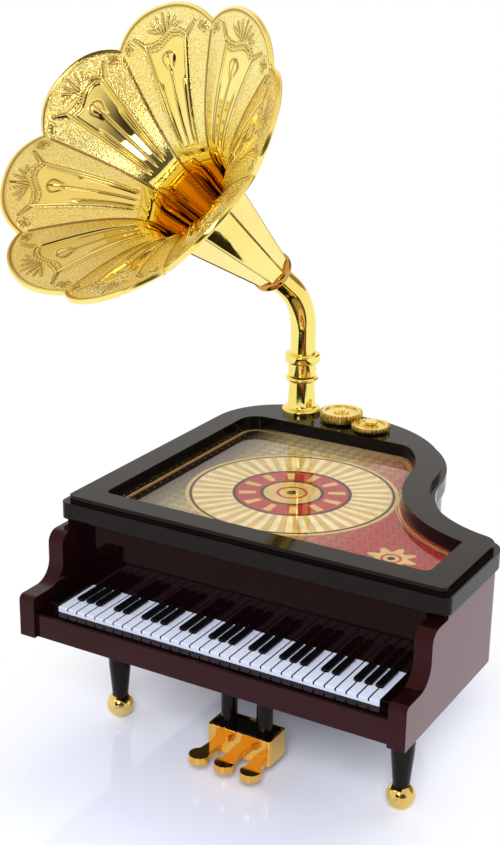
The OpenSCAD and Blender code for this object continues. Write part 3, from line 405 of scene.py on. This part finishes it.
def cardPrint(name):
    # a sunburst medallion, a small rosette and a lined border on a ground of dark lattice
    look = cardLook
    material, tree, shader = newMaterial(name)
    place = objectPlace(tree)

    def product(a, b):
        return calc(tree, "MULTIPLY", a, b)

    def polar(centre):
        x, y = centre
        shift = addNode(tree, "ShaderNodeVectorMath", operation="SUBTRACT")
        shift.inputs[1].default_value = fromCase(x, y, 0)
        tree.links.new(place, shift.inputs[0])
        parts = addNode(tree, "ShaderNodeSeparateXYZ")
        tree.links.new(shift.outputs[0], parts.inputs[0])
        px, py = parts.outputs[0], parts.outputs[1]
        away = calc(tree, "SQRT", calc(tree, "ADD", product(px, px), product(py, py)))
        return product(away, 1000.0), calc(tree, "ARCTAN2", py, px), px, py

    def within(value, low, high):
        return product(calc(tree, "GREATER_THAN", value, low), calc(tree, "LESS_THAN", value, high))

    def spokes(angle, count, share):
        return calc(tree, "GREATER_THAN", calc(tree, "COSINE", product(angle, float(count))), share)

    def wave(operation, a, b):
        return calc(tree, "SINE", product(calc(tree, operation, a, b), look["lattice"]))

    r, a, px, py = polar(look["medallion"])
    big = look["radius"]
    lattice = product(wave("ADD", px, py), wave("SUBTRACT", px, py))
    wide = look["groundHalf"]
    across = addNode(tree, "ShaderNodeMapRange", {"From Min": -wide, "From Max": wide})
    tree.links.new(px, across.inputs["Value"])
    ground = ramp(tree, across.outputs["Result"], [(stop, look[shade]) for stop, shade in look["ground"]])
    darker = blendColour(tree, look["latticeShade"], ground, look["ink"])
    colour = blendColour(tree, calc(tree, "GREATER_THAN", lattice, 0.0), ground, darker)
    colour = blendColour(tree, calc(tree, "GREATER_THAN", lattice, look["latticeDots"]), colour, look["gold"])
    colour = blendColour(tree, calc(tree, "LESS_THAN", r, big), colour, look["gold"])
    inner, outer = look["rayBand"]
    rays = product(spokes(a, look["rays"], look["rayShare"]), within(r, big * inner, big * outer))
    colour = blendColour(tree, rays, colour, look["cream"])
    inner, outer = look["wheel"]
    colour = blendColour(tree, within(r, big * inner, big * outer), colour, look["red"])
    inner, outer = look["petalBand"]
    petals = product(spokes(a, look["petals"], look["petalShare"]), within(r, big * inner, big * outer))
    colour = blendColour(tree, petals, colour, look["gold"])
    for inner, outer, shade in look["rings"]:
        colour = blendColour(tree, within(r, big * inner, big * outer), colour, look[shade])
    r, a, px, py = polar(look["rosette"])
    small = look["rosetteRadius"]
    lobes = product(calc(tree, "COSINE", product(a, look["lobes"])), look["lobeDepth"])
    bloom = product(small, calc(tree, "ADD", 1 - look["lobeDepth"], lobes))
    colour = blendColour(tree, calc(tree, "LESS_THAN", r, bloom), colour, look["gold"])
    inner, outer = look["rosetteRing"]
    colour = blendColour(tree, within(r, small * inner, small * outer), colour, look["red"])
    colour = blendColour(tree, calc(tree, "LESS_THAN", r, small * look["eye"]), colour, look["ink"])
    # every other band of the border is a gold line
    lines = calc(tree, "GREATER_THAN", calc(tree, "MODULO", attribute(tree, "band"), 2.0), 0.5)
    colour = blendColour(tree, lines, colour, look["gold"])
    ageing = ramp(tree, noise(tree, look["ageing"], 5), [(0.25, 0.8), (0.75, 1.0)])
    feed(tree, shader, "Base Color", blendColour(tree, 1.0, colour, ageing, "MULTIPLY"))
    setShader(shader, {"Roughness": look["roughness"]})
    addBump(tree, shader, noise(tree, look["paper"], 3), look["paperDepth"])
    return material


finishes["card"] = cardPrint("printed_card")
print("materials made:", len(finishes))

slotFinish = {
    "maroon_gloss": "maroon", "black_gloss": "black", "ivory_gloss": "ivory", "gold_plating": "gold",
    "clear_pane": "pane", "printed_card": "card", "backing_wood": "board", "steel": "steel",
    "movement_brass": "brass",
}
for part in frame["record"]["subparts"]:
    node = nodes[part["node"]]
    node.data.materials.clear()
    node.data.materials.append(finishes[slotFinish[part["material_slot"]]])
# the shaft's plated end shows in the drive gear
nodes["output_shaft"].data.materials[0] = finishes["knob"]

# CAD pieces with rounded edges: node, piece, body, edge width in millimetres, its segments, finish, slot
roundedPieces = [
    ("case_shell", "caseBody", "case", 0.8, 3, "maroon", "maroon_gloss"),
    ("fallboard", "fallBoard", "case", 0.3, 3, "fall", "maroon_gloss"),
    ("bottom_plate", "bottomPlate", "case", 0.25, 3, "black", "black_gloss"),
    ("keybed", "keyBed", "case", 0.3, 3, "fall", "black_gloss"),
    ("white_keys", "whiteKeys", "case", 0.14, 3, "ivory", "ivory_gloss"),
    ("black_keys", "blackKeys", "case", 0.25, 3, "ebony", "black_gloss"),
    ("lid_frame", "lidFrame", "case", 0.55, 3, "black", "black_gloss"),
    ("lyre", "pedalLyre", "case", 0.2, 3, "black", "black_gloss"),
    ("pedal_box", "pedalBox", "case", 0.35, 3, "deepGold", "gold_plating"),
    ("idler_stud", "idlerStud", "case", 0.2, 3, "gold", "gold_plating"),
    ("drive_gear", "driveGear", "barrel", 0.1, 2, "knob", "gold_plating"),
    ("idler_gear", "idlerGear", "idler", 0.1, 2, "knob", "gold_plating"),
    ("winding_key", "windingKey", "winder", 0.25, 3, "brass", "movement_brass"),
]
outerLook = {"upright": 0.3, "front": -0.4, "clear": 20}


def markOuter(piece):
    # upright faces that look away from the middle of the case, apart from the front; they take the painted
    # sheen
    middle = (caseLow + caseHigh) / 2
    layer = piece.data.attributes.new("outer", "FLOAT", "FACE")
    for face in piece.data.polygons:
        upright = abs(face.normal.z) < outerLook["upright"] and face.normal.y > outerLook["front"]
        away = (face.center - middle).dot(face.normal)
        layer.data[face.index].value = 1.0 if upright and away > outerLook["clear"] * mm else 0.0


for node, name, body, width, segments, finish, slot in roundedPieces:
    piece = roundedCopy(node, name, width, segments)
    if node == "case_shell":
        markOuter(piece)
    finishPiece(piece, body, finishes[finish], [node], flat=True)

# painted shade: black strips in the gaps between the white keys, where only shade falls
gapLook = {"slit": 0.6, "depth": 1.1, "below": 0.22, "clear": 0.02, "ends": 0.3, "keys": 32}


def keyGapShade():
    look = gapLook
    low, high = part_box("white_keys")
    pitch = (high.x - low.x) / look["keys"]
    size = Vector((look["slit"] - 2 * look["clear"], 0, look["depth"] - look["below"] - look["clear"])) * mm
    size.y = high.y - low.y - look["ends"] * mm
    middle = Vector((low.x + pitch, (low.y + high.y) / 2, high.z - look["below"] * mm - size.z / 2))
    bpy.ops.object.select_all(action="DESELECT")
    bpy.ops.mesh.primitive_cube_add(size=1, location=middle)
    shadeStrips = startPiece("keyGapShade")
    shadeStrips.scale = size
    settle(shadeStrips)
    row = shadeStrips.modifiers.new("row", "ARRAY")
    row.use_relative_offset = False
    row.use_constant_offset = True
    row.constant_offset_displace = (pitch, 0, 0)
    row.count = look["keys"] - 1
    bpy.ops.object.modifier_apply(modifier=row.name)
    finishPiece(shadeStrips, "case", finishes["ebony"])


keyGapShade()


def makeCard():
    # the border lines are inset from the card's outline
    card = roundedCopy("print_card", "printCard", 0)
    card.data.attributes.new("band", "FLOAT", "FACE")
    bpy.ops.object.mode_set(mode="EDIT")
    bpy.ops.mesh.select_mode(type="FACE")
    bpy.ops.mesh.select_all(action="DESELECT")
    bpy.ops.object.mode_set(mode="OBJECT")
    for face in card.data.polygons:
        face.select = face.normal.z > 0.9
    for step, width in enumerate(cardLook["bands"]):
        bpy.ops.object.mode_set(mode="EDIT")
        bpy.ops.mesh.inset(thickness=width * mm, use_even_offset=True)
        bpy.ops.object.mode_set(mode="OBJECT")
        for face in card.data.polygons:
            if face.select:
                card.data.attributes["band"].data[face.index].value = step + 1
    bpy.ops.object.mode_set(mode="EDIT")
    bpy.ops.mesh.select_mode(type="VERT")
    bpy.ops.object.mode_set(mode="OBJECT")
    finishPiece(card, "case", finishes["card"], ["print_card"])


makeCard()
print("case, lid and keyboard done")

# legs on ball feet
legLook = {"ball": 5.1, "flat": 0.25, "seat": 0.25, "seatShare": 0.9, "foot": 3.0, "knee": 4.1, "top": 5.0}


def ballFoot(node, name):
    low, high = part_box(node)
    r = legLook["ball"]
    middle = r - legLook["flat"]
    bottom = -math.degrees(math.acos(math.sqrt(r * r - middle * middle) / r))
    top = math.degrees(math.asin((high.z / mm - middle) / r))
    profile = [(0, 0)] + arc(0, middle, r, bottom, top, 26)
    seat = high.z / mm - legLook["seat"]
    profile += [(legLook["foot"] * legLook["seatShare"], seat), (0, seat)]
    centre = Vector(((low.x + high.x) / 2, (low.y + high.y) / 2, 0))
    finishPiece(turnedPiece(name, profile, centre, 72), "case", finishes["ballGoldPaintedShade"], [node])


def taperLeg(node, foot, name):
    low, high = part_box(node)
    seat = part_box(foot)[1].z / mm
    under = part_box("bottom_plate")[0].z / mm
    r0, rm, r1 = legLook["foot"], legLook["knee"], legLook["top"]
    third = seat + (under - seat) / 3
    # small roundings at the foot, the knee and the top
    profile = [(0, seat - 0.2), (r0 - 0.3, seat - 0.2), (r0 - 0.05, seat + 0.15), (r0, seat + 0.5)]
    profile += [(rm - 0.12, third - 1.2), (rm, third), (rm + 0.06, third + 1.2), (r1, under - 0.4)]
    profile += [(r1 - 0.1, under - 0.1), (r1 - 0.4, under), (0, under)]
    centre = Vector(((low.x + high.x) / 2, (low.y + high.y) / 2, 0))
    finishPiece(turnedPiece(name, profile, centre, 64), "case", finishes["black"], [node])


for side, label in (("front_left", "FrontLeft"), ("front_right", "FrontRight"), ("tail", "Tail")):
    ballFoot("foot_" + side, "ballFoot" + label)
    taperLeg("leg_" + side, "foot_" + side, "taperLeg" + label)
print("legs and feet done")

# horn: pedestal, elbow, collar and bell
horn = {
    "stemHeight": 35.8, "bendRadius": 26.0, "tilt": 38.2, "turn": 15.0, "nozzle": 14.5,
    "tube": 5.3, "collar": 8.9, "collarLength": 5.0, "pedestal": 16.0, "base": 8.2,
    "coneStart": 8.3, "coneEnd": 18.4, "coneLength": 50.6, "petalLength": 33.0,
    "notch": 57.8, "tip": 63.2, "cup": 5.7, "wall": 1.2, "petals": 8, "pull": 0.42, "lobePower": 2.4,
}
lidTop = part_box("lid_frame")[1].z / mm
stemLow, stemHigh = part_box("horn_pedestal")
stem = Vector(((stemLow.x + stemHigh.x) / 2, (stemLow.y + stemHigh.y) / 2, 0))
bend = math.radians(90 - horn["tilt"])
heading = math.radians(270 - horn["turn"])
stemTop = stem + Vector((0, 0, (lidTop + horn["stemHeight"]) * mm))
bendStart = Matrix.Translation(stemTop) @ Matrix.Rotation(heading, 4, "Z")
reach = Vector((horn["bendRadius"] * (1 - math.cos(bend)), 0, horn["bendRadius"] * math.sin(bend))) * mm
bendEnd = bendStart @ Matrix.Translation(reach) @ Matrix.Rotation(bend, 4, "Y")
hornAxes = bendEnd @ Matrix.Translation((0, 0, horn["nozzle"] * mm))


def pedestalProfile():
    h, tube = horn["pedestal"], horn["tube"]
    ring = h - 1.8
    # rounded foot, cove, neck and the bead at the top
    out = [(0, 0), (horn["base"], 0)] + arc(horn["base"] - 1, 1.2, 1, 0, 90, 8)
    out += arc(tube + 1.8, 3.4, 1.2, 270, 190, 8)
    out += [(tube - 0.1, ring - 0.6), (tube + 0.2, ring - 0.35)]
    out += arc(tube + 0.7, ring + 0.75, 0.9, -70, 80, 10)
    return out + [(tube - 0.2, h), (0, h)]


pedestal = turnedPiece("hornPedestal", [(r, z + lidTop) for r, z in pedestalProfile()], stem)
finishPiece(pedestal, "case", finishes["gold"], ["horn_pedestal"])


def makeElbow():
    tube, start = horn["tube"], horn["pedestal"] + 0.3
    ring = horn["pedestal"] + 6.0
    sleeve = [(0, start), (tube + 0.35, start)] + arc(tube + 0.3, start + 0.3, 0.3, -60, 0, 3)
    sleeve += [(tube + 0.6, ring - 0.5)] + arc(tube + 1.0, ring + 0.9, 1.1, 250, 360, 8)
    sleeve += arc(tube + 1.0, ring + 3.0, 1.1, 0, 100, 8) + [(tube + 0.1, ring + 4.2), (0, ring + 4.2)]
    foot = turnedPiece("hornElbow", [(r, z + lidTop) for r, z in sleeve], stem)
    settle(foot)
    bpy.ops.object.select_all(action="DESELECT")
    bpy.ops.mesh.primitive_circle_add(vertices=72, radius=tube * mm, location=(0, 0, 0))
    pipe = startPiece("elbowPipe")
    bpy.ops.object.mode_set(mode="EDIT")
    bpy.ops.mesh.select_all(action="SELECT")
    rise = horn["stemHeight"] - ring - 3.5
    bpy.ops.mesh.extrude_region_move(TRANSFORM_OT_translate={"value": (0, 0, rise * mm)})
    bpy.ops.mesh.spin(steps=40, angle=bend, center=(horn["bendRadius"] * mm, 0, rise * mm), axis=(0, -1, 0))
    along = Vector((math.sin(bend), 0, math.cos(bend))) * (horn["nozzle"] - 2.0) * mm
    bpy.ops.mesh.extrude_region_move(TRANSFORM_OT_translate={"value": along})
    bpy.ops.mesh.select_all(action="SELECT")
    bpy.ops.mesh.remove_doubles(threshold=2e-6)
    bpy.ops.mesh.normals_make_consistent(inside=False)
    bpy.ops.object.mode_set(mode="OBJECT")
    pipe.matrix_world = bendStart @ Matrix.Translation((0, 0, -rise * mm))
    settle(pipe)
    foot.select_set(True)
    bpy.context.view_layer.objects.active = foot
    bpy.ops.object.join()
    return finishPiece(foot, "horn", finishes["gold"], ["horn_elbow"])


makeElbow()


def makeCollar():
    r, h, bore = horn["collar"], horn["collarLength"], horn["tube"] + 0.2
    profile = [(bore, -h), (bore + 1.4, -h), (bore + 1.9, -h + 0.3)]
    for a in np.linspace(-1.35, 1.35, 15):
        profile.append((r - 1.9 + 1.9 * math.cos(a), -h / 2 + 2.1 * math.sin(a)))
    profile += [(r - 1.4, -0.2), (r - 2.0, 0.25), (horn["coneStart"] - 2.0, 0.25), (bore, -0.6)]
    collar = turnedPiece("hornCollar", profile, (0, 0, 0))
    collar.matrix_world = hornAxes
    return finishPiece(collar, "horn", finishes["collarPaintedShade"], ["horn_collar"])


makeCollar()

# bell: mesh steps, then the raised work of a petal, in millimetres from the rim or the petal's middle
bellLook = {
    "columns": 112, "rimStep": 0.5, "rimBand": 20.0, "step": 1.4, "coneRows": 8, "backRows": 20,
    "rib": 0.47, "ribHeight": 0.7, "innerRib": 0.72, "throat": 46.0, "seam": 0.3, "backSeam": 0.2,
    "scroll": 11.0, "scrollWave": 1.5, "scrollGap": 0.9, "bud": 18.5, "budHalf": (2.7, 3.3),
    "fanStrokes": 3, "fanPitch": 1.2, "fanSpread": 19, "fanLength": 6.4, "fanFoot": 9.0,
    "curlIn": 4.0, "curlDown": 5.0, "curlPitch": 1.15, "curlSize": 2.6, "groove": 0.18,
    "rimRoll": 0.45, "throatStart": 0.35, "throatRun": 0.65,
}


def meridian(t, rim, ahead=0.0):
    # place along the horn and radius on the flare, from the cone's end to the rim
    slope = (horn["coneEnd"] - horn["coneStart"]) / horn["coneLength"]
    s0, r0 = horn["coneLength"], horn["coneEnd"]
    pull = horn["pull"] * horn["petalLength"]
    s1, r1 = s0 + pull, r0 + pull * slope
    s2 = s0 + horn["petalLength"] + ahead
    k0, k1, k2 = (1 - t) ** 2, 2 * t * (1 - t), t * t
    return k0 * s0 + k1 * s1 + k2 * s2, k0 * r0 + k1 * r1 + k2 * rim


def bellSurface(t, u):
    # t below 0 is the cone, t from 0 to 1 the petals; u runs from -1 to 1 across a petal
    half = math.pi / horn["petals"]
    cone = np.clip(1 + t, 0, 1)
    flare = np.clip(t, 0, 1)
    lobe = 1 - np.abs(u) ** horn["lobePower"]
    s, petalR = meridian(flare, horn["notch"] + (horn["tip"] - horn["notch"]) * lobe, horn["cup"] * lobe)
    edgeR = meridian(flare, horn["notch"])[1]
    s = np.where(t < 0, horn["coneLength"] * cone, s)
    edgeR = np.where(t < 0, horn["coneStart"] + (horn["coneEnd"] - horn["coneStart"]) * cone, edgeR)
    flat = edgeR * math.cos(half) / np.cos(u * half)
    w = flare * flare * (3 - 2 * flare)
    return s, flat + (np.where(t < 0, flat, petalR) - flat) * w


def ridge(distance, width):
    return np.exp(-(distance / width) ** 2)


def between(value, low, high, soft=0.6):
    return 1 / (1 + np.exp(-(value - low) / soft * 4)) / (1 + np.exp((value - high) / soft * 4))


def stroke(x, y, ax, ay, bx, by, width):
    # a tapered line from a to b
    dx, dy = bx - ax, by - ay
    k = np.clip(((x - ax) * dx + (y - ay) * dy) / (dx * dx + dy * dy), 0, 1)
    away = np.hypot(x - ax - k * dx, y - ay - k * dy)
    return ridge(away, width * (1.15 - 0.55 * k))


def petalColumns(count):
    # places across a petal, closer together where the raised lines run
    fine = np.linspace(-1, 1, 2001)
    side, rib = np.abs(fine), bellLook["rib"]
    crowd = 1.0 + 0.4 * (side < 0.55) + 1.6 * ridge(side - rib, 0.05) + 1.4 * ridge(side - 1, 0.04)
    crowd += ridge(side - bellLook["innerRib"] * rib, 0.05) + ridge(side, 0.05)
    run = np.concatenate(([0], np.cumsum((crowd[1:] + crowd[:-1]) / 2)))
    return np.interp(np.linspace(0, run[-1], count, endpoint=False), run, fine)


def petalRelief(x, y, half):
    # x across and y down from the rim in millimetres, half the petal's half width
    look = bellLook
    rib = look["rib"] * half
    side = np.abs(x)
    throat = look["throat"]
    scrollY = look["scroll"] + look["scrollWave"] * np.sin(x / np.maximum(rib, 1) * math.pi)
    work = 0.5 * ridge(y - 0.3, 0.8)
    work = np.maximum(work, look["ribHeight"] * ridge(side - rib, 0.48) * between(y, 10.5, throat))
    work = np.maximum(work, 0.42 * ridge(side - rib * look["innerRib"], 0.4) * between(y, 25, throat))
    work = np.maximum(work, 0.45 * ridge(x, 0.4) * between(y, look["bud"] + 2.5, throat))
    # the wavy double line
    for edge in (-look["scrollGap"], look["scrollGap"]):
        work = np.maximum(work, 0.55 * ridge(y - scrollY - edge, 0.5) * between(side, -5, rib + 0.6))
    # a pear-shaped bud with a split down its middle
    budWide, budLong = look["budHalf"]
    budY = (y - look["bud"]) / budLong
    budX = x / (budWide * np.clip(1.1 - 0.55 * budY, 0.2, 1.4))
    bud = np.hypot(budX, budY)
    work = np.maximum(work, 0.55 * np.clip(1 - bud ** 4, 0, 1) - 0.3 * ridge(x, 0.3) * (bud < 0.8))
    # the fan at the rim
    for k in range(-look["fanStrokes"], look["fanStrokes"] + 1):
        lean = math.radians(look["fanSpread"] * k)
        long = look["fanLength"] - 0.5 * abs(k)
        footX, footY = look["fanPitch"] * k, look["fanFoot"] - 0.25 * abs(k)
        tipX, tipY = footX + long * math.sin(lean), look["fanFoot"] - long * math.cos(lean)
        work = np.maximum(work, 0.45 * stroke(x, y, footX, footY, tipX, tipY, 0.5))
    # a leaf and a curl on each side
    for k in (-1, 1):
        work = np.maximum(work, 0.42 * stroke(x * k, y, rib, 10.5, rib + 4.2, 4.8, 0.6))
        pitch = look["curlPitch"]
        curlX, curlY = x * k - (half - look["curlIn"]), y - look["curlDown"]
        away, turn = np.hypot(curlX, curlY), np.arctan2(curlY, curlX)
        arm = np.abs((away / pitch - turn / (2 * math.pi)) % 1 - 0.5) * pitch
        work = np.maximum(work, 0.5 * ridge(pitch / 2 - arm, 0.33) * (away < look["curlSize"]))
    work = np.maximum(work, look["seam"] * ridge(half - side, 0.4) * between(y, 4, 999))
    grooves = ridge(side - rib - 1.0, 0.4) + ridge(side - rib + 1.0, 0.4)
    work = work - look["groove"] * grooves * between(y, 12, throat)
    # sanded ground between the lines, painted shade down their flanks
    ground = np.maximum(between(side, rib + 0.4, 99), between(y, -9, 8.5)) * between(y, 0.6, 46, 3.0)
    flank = np.clip(work / 0.42, 0, 1)
    return work, ground * (1 - np.clip(work * 2.2, 0, 1)), 4 * flank * (1 - flank)


def makeBell():
    petals, perPetal, wall = horn["petals"], bellLook["columns"], horn["wall"]
    columns = petals * perPetal
    fine = np.linspace(0, 1, 400)
    fs, fr = meridian(fine, (horn["notch"] + horn["tip"]) / 2, horn["cup"] / 2)
    length = np.concatenate(([0], np.cumsum(np.hypot(np.diff(fs), np.diff(fr)))))
    whole = length[-1]
    rimRows = np.arange(0, bellLook["rimBand"], bellLook["rimStep"])
    fromRim = np.concatenate((rimRows, np.arange(bellLook["rimBand"], whole, bellLook["step"])))
    tIn = np.interp(whole - fromRim[::-1], length, fine)
    tIn = np.concatenate((np.linspace(-0.97, -0.04, bellLook["coneRows"]), tIn))
    tOut = np.interp(np.linspace(0, whole, bellLook["backRows"] - 6), length, fine)[::-1]
    tOut = np.concatenate((tOut, np.linspace(-0.1, -1, 6)))
    u = np.tile(petalColumns(perPetal), petals)
    a = (np.repeat(np.arange(petals), perPetal) + (u + 1) / 2) * 2 * math.pi / petals
    rings, grains, paintedThroatShades, paintedShades = [], [], [], []

    def ring(t, depth, raised=False):
        tt = np.full(columns, float(t))
        s, r = bellSurface(tt, u)
        sa, ra = bellSurface(np.minimum(tt + 0.01, 1.0), u)
        sb, rb = bellSurface(np.maximum(tt - 0.01, -1.0), u)
        run = np.hypot(sa - sb, ra - rb)
        half = r * math.pi / petals
        grain = np.zeros(columns)
        lift = -bellLook["backSeam"] * ridge((1 - np.abs(u)) * half, 0.3) * (depth == 0)
        # painted shade in the back seams' grooves
        dark = np.clip(-lift * 4, 0, 1)
        if raised:
            down = whole - np.interp(t, fine, length) if t >= 0 else whole - t * horn["coneLength"]
            lift, grain, dark = petalRelief(u * half, np.full(columns, down), half)
        push = depth + lift
        rr = r - push * (sa - sb) / run
        ss = s + push * (ra - rb) / run
        rings.append(np.stack([rr * np.cos(a), rr * np.sin(a), ss], 1))
        grains.append(grain)
        paintedShades.append(dark)
        # painted shade: the share of the throat's darker gold grows towards the cone
        deep = (bellLook["throatStart"] - t) / bellLook["throatRun"]
        paintedThroatShades.append(np.full(columns, min(max(deep, 0), 1) if raised else 0.0))

    for t in tIn:
        ring(t, wall, raised=True)
    # round the rim
    for k in (1, 2, 3):
        turn = math.pi * k / 4
        ring(1.0, wall / 2 + wall / 2 * math.cos(turn))
        rings[-1][:, :2] *= 1 + bellLook["rimRoll"] * math.sin(turn) / horn["notch"]
    for t in tOut:
        ring(t, 0.0)
    # a sheet of squares rolled up both ways: the last row and column close on the first
    points = np.pad(np.array(rings), ((0, 1), (0, 1), (0, 0)), mode="wrap")
    bpy.ops.object.select_all(action="DESELECT")
    bpy.ops.mesh.primitive_grid_add(x_subdivisions=columns, y_subdivisions=len(rings), size=0.1)
    bell = startPiece("hornBell")
    bell.data.vertices.foreach_set("co", (points * mm).ravel())
    for name, rows in (("grain", grains), ("throat", paintedThroatShades), ("paintedShade", paintedShades)):
        layer = bell.data.attributes.new(name, "FLOAT", "POINT")
        layer.data.foreach_set("value", np.pad(np.array(rows), ((0, 1), (0, 1)), mode="wrap").ravel())
    selectOnly(bell)
    bpy.ops.object.mode_set(mode="EDIT")
    bpy.ops.mesh.select_all(action="SELECT")
    bpy.ops.mesh.remove_doubles(threshold=2e-6)
    bpy.ops.mesh.normals_make_consistent(inside=False)
    bpy.ops.object.mode_set(mode="OBJECT")
    bell.matrix_world = hornAxes
    print("bell:", len(rings), "rings of", columns)
    return finishPiece(bell, "horn", finishes["bell"], ["horn_bell"], 60)


makeBell()
print("horn done")

# floor, light and camera
stageLook = {
    "floor": 60.0, "tint": (0.82, 0.845, 0.98), "roughness": 0.06,
    "middle": (0.02, -0.06, 0.0), "half": (0.04, 0.08, 1.0), "fade": 0.075,
}


def smoothStep(tree, value, low, high):
    ends = {"From Min": low, "From Max": high}
    made = addNode(tree, "ShaderNodeMapRange", ends, interpolation_type="SMOOTHSTEP")
    tree.links.new(value, made.inputs["Value"])
    return made.outputs["Result"]


def whiteFloor():
    bpy.ops.object.select_all(action="DESELECT")
    bpy.ops.mesh.primitive_plane_add(size=stageLook["floor"], location=(0, 0, 0))
    floor = startPiece("studioFloor")
    material, tree, shader = newMaterial("pale_floor")
    setShader(shader, {"Base Color": (*stageLook["tint"], 1), "Roughness": stageLook["roughness"]})
    glow = addNode(tree, "ShaderNodeEmission", {"Color": (1, 1, 1, 1), "Strength": 1.0})
    # real floor in a box round the object, plain white past the fade
    steps = [("SUBTRACT", stageLook["middle"]), ("ABSOLUTE", None), ("SUBTRACT", stageLook["half"]),
             ("MAXIMUM", (0, 0, 0))]
    outside = objectPlace(tree)
    for operation, value in steps:
        step = addNode(tree, "ShaderNodeVectorMath", operation=operation)
        tree.links.new(outside, step.inputs[0])
        if value:
            step.inputs[1].default_value = value
        outside = step.outputs["Vector"]
    away = addNode(tree, "ShaderNodeVectorMath", operation="LENGTH")
    tree.links.new(outside, away.inputs[0])
    fade = smoothStep(tree, away.outputs["Value"], 0.0, stageLook["fade"])
    path = addNode(tree, "ShaderNodeLightPath").outputs
    mirrored = calc(tree, "MAXIMUM", path["Is Glossy Ray"], path["Is Transmission Ray"])
    seen = calc(tree, "MAXIMUM", path["Is Camera Ray"], mirrored)
    mixSurfaces(tree, calc(tree, "MULTIPLY", fade, seen), shader.outputs["BSDF"], glow.outputs["Emission"])
    floor.data.materials.append(material)


# lamps: name, place, aim, size, watts, and whether shiny surfaces mirror them
lamps = [
    ("backSoftbox", (0.2, 0.75, 0.95), (0, 0, 0.1), (1.2, 1.2), 9.0, False),
    ("leftSoftbox", (-0.9, -0.35, 0.8), (0, 0, 0.12), (1.2, 1.2), 5.0, False),
    ("frontKey", (0.45, -0.86, 0.71), (0, 0, 0.05), (0.3, 0.3), 11.0, False),
    ("cameraLamp", (0.18, -0.92, 0.575), (0, 0, 0.15), (0.26, 0.28), 1.0, True),
    ("sparkLight", (-0.5, -0.8, 0.75), (0.02, 0, 0.08), (0.04, 0.04), 0.5, True),
]


def softLight(name, place, aim, size, power, mirrored):
    bpy.ops.object.light_add(type="AREA", location=place)
    light = bpy.context.object
    light.name = name
    light.data.shape = "RECTANGLE"
    light.data.size, light.data.size_y = size
    light.data.energy = power
    light.visible_glossy = mirrored
    light.rotation_euler = (Vector(aim) - Vector(place)).to_track_quat("-Z", "Y").to_euler()


# what shiny surfaces see: a white tent with darker gaps, each with its direction, edges and shade
worldLook = {
    "ambient": (0.35, 0.35, 0.36),
    "tent": [(0.0, 1.0), (0.4, (0.98, 0.94, 0.87)), (0.9, (0.88, 0.79, 0.66))],
    "gaps": [
        ((-0.03, -0.956, 0.292), (0.945, 0.985), (0.04, 0.028, 0.024)),
        ((0.66, -0.73, 0.17), (0.84, 0.96), (0.12, 0.095, 0.07)),
        ((-0.2, 0.24, 0.95), (0.86, 0.99), (0.64, 0.52, 0.36)),
        ((0.5, 0.83, 0.25), (0.84, 0.95), (0.3, 0.22, 0.13)),
    ],
}


def studioWorld():
    world = bpy.data.worlds.new("studio")
    scene.world = world
    world.use_nodes = True
    tree = world.node_tree
    back = tree.nodes["Background"]
    place = addNode(tree, "ShaderNodeTexCoord").outputs["Generated"]
    parts = addNode(tree, "ShaderNodeSeparateXYZ")
    tree.links.new(place, parts.inputs[0])
    tent = ramp(tree, parts.outputs["Z"], worldLook["tent"])
    for direction, (outer, inner), shade in worldLook["gaps"]:
        toward = addNode(tree, "ShaderNodeVectorMath", operation="DOT_PRODUCT")
        toward.inputs[1].default_value = direction
        tree.links.new(place, toward.inputs[0])
        tent = blendColour(tree, smoothStep(tree, toward.outputs["Value"], outer, inner), tent, shade)
    path = addNode(tree, "ShaderNodeLightPath").outputs
    mirrored = calc(tree, "MAXIMUM", path["Is Glossy Ray"], path["Is Transmission Ray"])
    colour = blendColour(tree, mirrored, worldLook["ambient"], tent)
    feed(tree, back, "Color", blendColour(tree, path["Is Camera Ray"], colour, (1, 1, 1)))
    back.inputs["Strength"].default_value = 1.0


# the photo's view, fitted to the case: angles in degrees, focus in pixels, distances in case widths
cameraFit = {
    "azimuth": 30.165, "elevation": 19.291, "roll": 0.774, "focus": 1475.237, "photoHeight": 845,
    "x": 0.041, "y": -0.325, "away": 3.448, "pivot": (0.5, 0.3, 0.5), "sensor": 36.0,
}


def photoCamera():
    fit = cameraFit
    unit = caseHigh.x - caseLow.x
    az, el, roll = (math.radians(fit[k]) for k in ("azimuth", "elevation", "roll"))
    back = Vector((math.sin(az) * math.cos(el), -math.cos(az) * math.cos(el), math.sin(el)))
    right = Vector((math.cos(az), math.sin(az), 0))
    up = back.cross(right)
    sideways = math.cos(roll) * right + math.sin(roll) * up
    upward = -math.sin(roll) * right + math.cos(roll) * up
    pivot = Vector((caseLow.x, caseLow.y, 0)) + Vector(fit["pivot"]) * unit
    place = pivot + (back * fit["away"] - sideways * fit["x"] - upward * fit["y"]) * unit
    bpy.ops.object.camera_add(location=place)
    camera = bpy.context.object
    camera.name = "photoCamera"
    camera.rotation_euler = Matrix((sideways, upward, back)).transposed().to_euler()
    camera.data.sensor_width = fit["sensor"]
    camera.data.lens = fit["focus"] * fit["sensor"] / fit["photoHeight"]
    scene.camera = camera


whiteFloor()
studioWorld()
for lamp in lamps:
    softLight(*lamp)
photoCamera()
scene.view_settings.view_transform = "Standard"
print("stage done")
